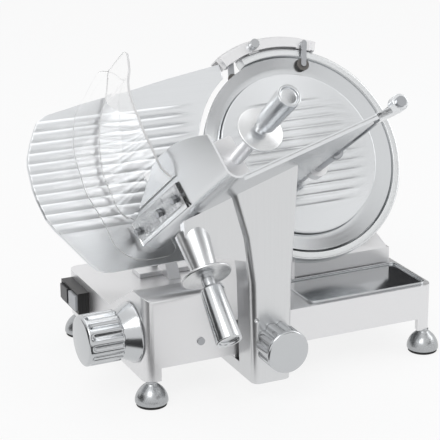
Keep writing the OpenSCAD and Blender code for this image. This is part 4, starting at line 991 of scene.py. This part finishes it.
@dataclass
class Carriage:
    """The arm, the food table, the guard and the handle that slide together."""

    table_l: float = 171.0
    reach: float = 280.0
    table_t: float = 2.5
    wall_f: float = -39.5
    fold_r: float = 15.0
    wall_h: float = 72.0
    table_o: float = 4.0
    notch_o: float = 11.3
    notch_f: float = 6.0
    notch_lap: float = 1.5
    sheet_round: float = 0.5
    lip_y: Pair = (-6.0, -1.5)
    lip_t: float = 2.0
    eye_r: float = 9.5
    eye_round: float = 1.2
    eye_spans: Profile = ((6, 14), (267, 280))
    tongue_x: Pair = (152, 180.5)
    tongue_y: Pair = (-8.3, 1)
    tongue_round: float = 0.6
    grip_l: float = 75.5
    lock: Knob = Knob(r=25.5, length=34, flutes=10, depth=3.2, bore=4.0, dome=4.0, foot=-38.0)
    lock_at: Place = Place((-23, -100.3, 70)).turned(90, "X")
    wall_top: Profile = (
        (0, 0.46), (0.18, 0.66), (0.36, 0.85), (0.5, 0.99), (0.6, 1), (0.72, 0.98), (0.88, 0.86), (1, 0.73),
    )

    def build(self) -> None:
        """Builds and dresses the carriage."""
        soften("carriage_arm", ARM, Edge.CAST, angle=30)
        soften("slide_block", CAST, Edge.SHEET)
        keep(BRONZE, "slide_bushes")
        self.table()
        keep(CHROME, "pusher_rod")
        soften("guard_bolts", ZINC, Edge.FINE)
        Handle("carriage", self.grip_l, GRIP, GRIP_LOW, DISC_LOW).build()
        stand_for(self.lock.build("lock_knob", self.lock_at), LOCK, "arm_lock_knob")

    def table(self) -> None:
        """The sheet table: one bent strip carried along the reach.

        The strip runs along the floor, round a quarter circle and up the end wall, whose height
        follows the top line. Both faces lie half a thickness from its middle line.
        """
        o = np.linspace(self.notch_o, self.reach, 110)
        top = smooth_line(self.wall_top, 120)
        along = (o - self.table_o) / (self.reach - self.table_o)
        high = np.interp(along, top[:, 0], top[:, 1]) * self.wall_h
        half = self.table_t / 2
        cf, cy = self.wall_f + self.fold_r, self.fold_r - self.table_t
        floor = np.linspace(self.table_l, cf, 24)
        a = np.radians(np.linspace(0, 90, 13))[1:]
        mid_r = self.fold_r - half
        wall = np.linspace(0, 1, 16)[1:]
        f = np.concatenate([floor, cf - mid_r * np.sin(a), 0 * wall + cf - mid_r])
        y0 = np.concatenate([0 * floor - half, cy - mid_r * np.cos(a), 0 * wall + cy])
        rise = np.concatenate([0 * floor, 0 * a, wall])
        y = y0[None, :] + rise[None, :] * (high[:, None] - cy)
        n = np.concatenate([
            np.tile([[0.0, 1.0]], (len(floor), 1)), np.stack([np.sin(a), np.cos(a)], -1),
            np.tile([[1.0, 0.0]], (len(wall), 1))])
        f, o = np.broadcast_to(f, y.shape), np.broadcast_to(o[:, None], y.shape)
        upper = np.stack([f + n[:, 0] * half, y + n[:, 1] * half, o], -1)
        under = np.stack([f - n[:, 0] * half, y - n[:, 1] * half, o], -1)
        shape = ruled(np.concatenate([upper, under[:, ::-1]], 1), TABLE)
        shape.add_bar(TABLE, (self.notch_f, self.table_l), (0, -self.table_t),
                      (self.table_o, self.notch_o + self.notch_lap), self.sheet_round)
        shape.add_bar(TABLE, (cf, self.table_l), self.lip_y,
                      (self.reach - self.lip_t, self.reach), self.sheet_round)
        self.ears(shape)
        stand_for(shape.mesh("folded_table", 35), TABLE_SHEET, "food_table")

    def ears(self, shape: Shape) -> None:
        """Adds the two eyes that hold the rod: rings with a tongue back to the floor.

        Args:
            shape: The table, which they join.
        """
        r0, r1 = ROD_BORE, self.eye_r
        rounds = [0, self.eye_round, self.eye_round, 0, 0]
        for start, end in self.eye_spans:
            t = end - start
            ring = fillet([(r0, 0), (r1, 0), (r1, t), (r0, t), (r0, 0)], rounds)
            grid = revolved(ring[:, 0], ring[:, 1], circle(64)) + [*ROD_AT, start]
            shape.add_grid(TABLE.world(grid), close_rows=True)
            shape.add_bar(TABLE, self.tongue_x, self.tongue_y, (start, end), self.tongue_round)


@dataclass
class HandGuard:
    """The clear guard: a flat lobe beside the gauge plate and a wall swept out from its fold."""

    w: float = 290.0
    h: float = 130.0
    o: float = 8.0
    t: float = 3.0
    reach: float = 165.0
    tip_r: float = 12.0
    flange_x: Pair = (-42.5, -39.5)
    flange_y: Pair = (7.5, 37.5)
    flange_round: float = 0.8
    line_steps: int = 160
    lobe_steps: int = 14
    wall_steps: int = 40
    outer: Profile = (
        (-0.769, 0.985), (-0.817, 0.992), (-0.855, 0.908), (-0.897, 0.792), (-0.931, 0.708),
        (-0.962, 0.592), (-0.983, 0.462), (-0.997, 0.323), (-1, 0.185), (-0.997, 0.054),
        (-0.99, -0.115), (-0.972, -0.238), (-0.952, -0.369), (-0.938, -0.485), (-0.921, -0.631),
        (-0.886, -0.731), (-0.845, -0.785), (-0.793, -0.808), (-0.707, -0.8), (-0.672, -0.746),
        (-0.679, -0.677),
    )
    fold: Profile = (
        (-0.835, -0.4), (-0.859, -0.338), (-0.872, -0.269), (-0.883, -0.123), (-0.893, 0.023),
        (-0.886, 0.215), (-0.876, 0.354), (-0.859, 0.492), (-0.835, 0.62), (-0.803, 0.754), (-0.769, 0.985),
    )
    rim: Profile = (
        (-0.5, 1), (-0.2, 1), (0, 0.98), (0.2, 0.9), (0.45, 0.75), (0.7, 0.6), (0.9, 0.5), (1.04, 0.44),
    )

    def build(self) -> None:
        """Builds the guard as one clear piece: lobe, wall and flange.

        The lobe is straight lines from the fold to the outer curve, front and back.
        """
        size = [self.w, self.h]
        outer = smooth_line(np.array(self.outer) * size, self.line_steps)
        fold = smooth_line(np.array(self.fold) * size, self.line_steps)
        shape = Shape()
        s = np.linspace(0, 1, self.lobe_steps)[None, :, None]
        flat = fold[::-1, None] * (1 - s) + outer[:, None] * s
        z = np.zeros(flat.shape[:2] + (1,)) + self.o
        self.add_sheet(shape, np.concatenate([flat, z + self.t], -1), np.concatenate([flat, z], -1))
        self.wall(shape, fold)
        shape.add_bar(TABLE, self.flange_x, self.flange_y, (self.o, self.reach), self.flange_round, 4)
        guard = shape.mesh("clear_hand_guard", 35)
        stand_for(guard, GLAZING, "hand_guard")
        # The edges take a whiter, less clear copy of the sheet: a painted highlight
        guard.data.materials.append(GLAZING_EDGE_HIGHLIGHT.material())

    def wall(self, shape: Shape, fold: Array) -> None:
        """Adds the wall: the fold's curve carried along the reach, up to the rim line.

        Near its upper end the rim falls back in a quarter circle, which rounds the tip.

        Args:
            shape: The guard.
            fold: The fold's curve.
        """
        rim = np.array(self.rim)
        far = np.interp(fold[:, 1] / self.h, rim[:, 0], rim[:, 1]) * (self.reach - self.o) + self.o
        steps = np.linalg.norm(np.diff(fold, axis=0), axis=1)
        left = np.concatenate([np.cumsum(steps[::-1])[::-1], [0.0]])
        far -= rounded_rim(left, self.tip_r)
        d = np.gradient(fold, axis=0)
        d /= np.linalg.norm(d, axis=1)[:, None]
        n = np.stack([-d[:, 1], d[:, 0]], -1) * self.t
        o = self.o + (far[:, None] - self.o) * np.linspace(0, 1, self.wall_steps)[None, :]
        flat = np.broadcast_to(fold[:, None], o.shape + (2,))
        one = np.concatenate([flat, o[..., None]], -1)
        two = np.concatenate([flat + n[:, None], o[..., None]], -1)
        self.add_sheet(shape, one, two)

    def add_sheet(self, shape: Shape, front: Array, back: Array) -> None:
        """Adds a sheet between two faces; its edges all round take the second material, a painted
        highlight.
        """
        grid, w = BLADE.world(np.concatenate([front, back[:, ::-1]], 1)), front.shape[1]
        shape.add_grid(grid, close_cols=True, caps=True, rim=(w - 1, 2 * w - 1))


@dataclass
class Pusher:
    """The food pusher: sleeve, toothed plate, stem, disc and grip.

    The sleeve's line is a profile of points (radius, height), with a rounding for each.
    """

    sleeve: Profile = (
        (ROD_BORE, 0), (9, 0), (9, 5), (7, 5), (7, 71), (9, 71), (9, 76), (ROD_BORE, 76), (ROD_BORE, 0),
    )
    sleeve_round: tuple[float, ...] = (0, 0.8, 0.8, 0.6, 0.6, 0.8, 0.8, 0, 0)
    sleeve_o: float = 37.0
    disc_at: Place = STEM.moved(z=74)
    grip_l: float = 77.0

    def build(self) -> None:
        """Builds and dresses the pusher."""
        ring = fillet(self.sleeve, self.sleeve_round, 4)
        sleeve = lathe(ring, TABLE.moved(*ROD_AT, self.sleeve_o), 72).mesh("rod_sleeve", 30)
        stand_for(sleeve, CHROME, "pusher_sleeve")
        soften("pusher_plate", CAST, Edge.SHEET, 2)
        Handle("pusher", self.grip_l, self.disc_at, GRIP_HIGH, DISC_HIGH).build()


@dataclass
class Sharpener:
    """The sharpener on top of the ring."""

    def build(self) -> None:
        """Dresses the sharpener."""
        soften("sharpener_body", CAST, Edge.CAST, 4)
        soften("sharpener_knob", CHROME_X, Edge.FINE)
        soften("grind_pusher", ZINC, Edge.FINE, 2)
        soften("hone_pusher", ZINC, Edge.FINE, 2)
        keep(STONE, "grind_wheel", "hone_wheel")


@dataclass
class Studio:
    """A pale floor, soft lamps, dark cards and the camera.

    The camera has angles in degrees, a spot in millimetres, and a focal length and centre in
    pixels of the photograph. A lamp has a name, spot, size and power, and a card a name, spot,
    width, height and whether it lies flat, in metres and watts.
    """

    angles: Triple = (-25.4017, 17.8427, -0.1404)
    spot: Triple = (-805.9, -1638.5, 802.0)
    focal: float = 1646.232
    centre: Pair = (233.628, 194.0997)
    pixels: float = 440
    sensor: float = 36
    far: float = 50
    floor_half: float = 12e3
    floor_glow: float = 0.85
    sky: tuple[str, float] = ("f2f3f5", 0.55)
    aim: Triple = (0, 0, 0.2)
    lamps: tuple[tuple[str, Triple, float, float], ...] = (
        ("key", (-1.5, -1.6, 2.6), 1.6, 26),
        ("side", (2.2, -0.6, 1.5), 1.2, 9),
        ("top", (0.2, 0.9, 2.7), 2.6, 14),
    )
    card_look: tuple[str, float] = ("2c2c2e", 0.9)
    cards: tuple[tuple[str, Triple, float, float, bool], ...] = (
        ("left_card", (-3.0, 0.4, 0.9), 2.4, 1.5, False),
        ("right_card", (2.6, 2.4, 1.2), 2.0, 1.6, False),
        ("top_card", (1.35, -0.75, 2.8), 0.8, 0.5, False),
        ("front_card", (1.3, -2.4, 1.35), 1.7, 0.45, False),
        ("back_card", (0.45, 1.0, 0.45), 0.5, 0.08, False),
        # Low beside the machine: painted shade of the floor in its shadow, seen only in gloss
        ("floor_shade_flag", (-0.55, 0.14, 0.05), 0.5, 0.12, False),
        ("blade_card", (2.1, -1.15, 1.75), 0.8, 0.8, False),
        # Lying on the floor in front of the machine: painted shade of the floor near it, seen only in gloss
        ("floor_shade_card", (-0.5, -0.42, 0.002), 0.76, 0.6, True),
    )

    def build(self) -> None:
        """Sets up the stage."""
        self.camera()
        self.world()
        self.floor()
        self.light()
        self.darken()

    def camera(self) -> None:
        """The camera, from the directions that the photograph gave."""
        az, el, ro = (math.radians(v) for v in self.angles)
        back = Vector((math.sin(az) * math.cos(el), -math.cos(az) * math.cos(el), math.sin(el)))
        right = Vector((math.cos(az), math.sin(az), 0))
        up = back.cross(right)
        r2 = math.cos(ro) * right + math.sin(ro) * up
        u2 = -math.sin(ro) * right + math.cos(ro) * up
        data = bpy.data.cameras.new("view")
        data.lens = self.focal / self.pixels * self.sensor
        data.sensor_width, data.sensor_fit = self.sensor, "HORIZONTAL"
        data.shift_x = (self.pixels / 2 - self.centre[0]) / self.pixels
        data.shift_y = (self.centre[1] - self.pixels / 2) / self.pixels
        data.clip_end = self.far
        made = bpy.data.objects.new("view", data)
        turn = Matrix((r2, u2, back)).transposed().to_4x4()
        made.matrix_world = Matrix.Translation(Vector(self.spot) * MM) @ turn
        bpy.context.scene.collection.objects.link(made)
        bpy.context.scene.camera = made

    def world(self) -> None:
        """White to the eye and in gloss, softer as light."""
        world = bpy.data.worlds.new("studio")
        bpy.context.scene.world = world
        graph = Graph(world)
        graph.tree.nodes.clear()
        colour, strength = self.sky
        plain = graph.add("Background", {0: linear(colour), 1: strength})[0]
        white = graph.add("Background", {0: (1, 1, 1, 1), 1: 1.0})[0]
        mixed = graph.add("MixShader", {0: self.seen(graph), 1: plain, 2: white})[0]
        graph.add("OutputWorld", {0: mixed})

    def seen(self, graph: Graph) -> Socket:
        """One where a camera, glossy or transmitted ray looks, else zero.

        Args:
            graph: The nodes.

        Returns:
            The socket that gives it.
        """
        ray = graph.add("LightPath")
        sides = {0: ray["Is Camera Ray"], 1: ray["Is Glossy Ray"]}
        one = graph.add("Math", sides, operation="MAXIMUM")[0]
        return graph.add("Math", {0: one, 1: ray["Is Transmission Ray"]}, operation="MAXIMUM")[0]

    def floor(self) -> None:
        """A wide pale floor that keeps a soft shadow."""
        h = self.floor_half
        grid = np.array([[[-h, -h, 0], [h, -h, 0]], [[-h, h, 0], [h, h, 0]]], float)
        made = Shape().add_grid(WORLD.world(grid)).mesh("floor")
        look = bpy.data.materials.new("white_sweep")
        graph = Graph(look)
        graph.tree.nodes.clear()
        matt = graph.add("BsdfDiffuse", {0: linear("fcfcfc")})[0]
        glow = graph.add("Emission", {0: (1, 1, 1, 1), 1: 1.0})[0]
        part = graph.add("Math", {0: self.seen(graph), 1: self.floor_glow}, operation="MULTIPLY")[0]
        graph.add("OutputMaterial", {0: graph.add("MixShader", {0: part, 1: matt, 2: glow})[0]})
        made.data.materials.append(look)

    def light(self) -> None:
        """Hangs the square soft lamps, which face the machine."""
        for name, spot, size, power in self.lamps:
            data = bpy.data.lights.new(name, "AREA")
            data.size, data.energy = size, power
            made = bpy.data.objects.new(name, data)
            made.location = spot
            made.rotation_euler = (Vector(spot) - Vector(self.aim)).to_track_quat("Z", "Y").to_euler()
            bpy.context.scene.collection.objects.link(made)

    def darken(self) -> None:
        """Sets up dark cards that only gloss sees, so that bright metal has something to show; two of them
        are painted shade of the floor near the machine.
        """
        look = bpy.data.materials.new("dark_card")
        colour, rough = self.card_look
        Graph(look).surface({"Base Color": linear(colour), "Roughness": rough})
        for name, spot, width, height, lying in self.cards:
            aim = Vector((0, 0, 1)) if lying else Vector(spot) - Vector(self.aim)
            face = aim.to_track_quat("Z", "Y").to_matrix()
            w, h = width / 2, height / 2
            corners = np.array([[[-w, -h, 0], [w, -h, 0]], [[-w, h, 0], [w, h, 0]]])
            made = Shape().add_grid(corners @ np.array(face).T + np.array(spot)).mesh(name)
            made.data.materials.append(look)
            made.visible_camera = made.visible_diffuse = made.visible_shadow = False
            made.visible_transmission = False


def main() -> None:
    """Builds the sub-assemblies in order."""
    logging.basicConfig(level=logging.INFO, format="%(name)s: %(message)s")
    bpy.context.scene.view_settings.view_transform = "Standard"
    for part in (Studio, Base, BladeUnit, Gauge, Dial, Carriage, HandGuard, Pusher, Sharpener):
        part().build()


if __name__ == "__main__":
    main()
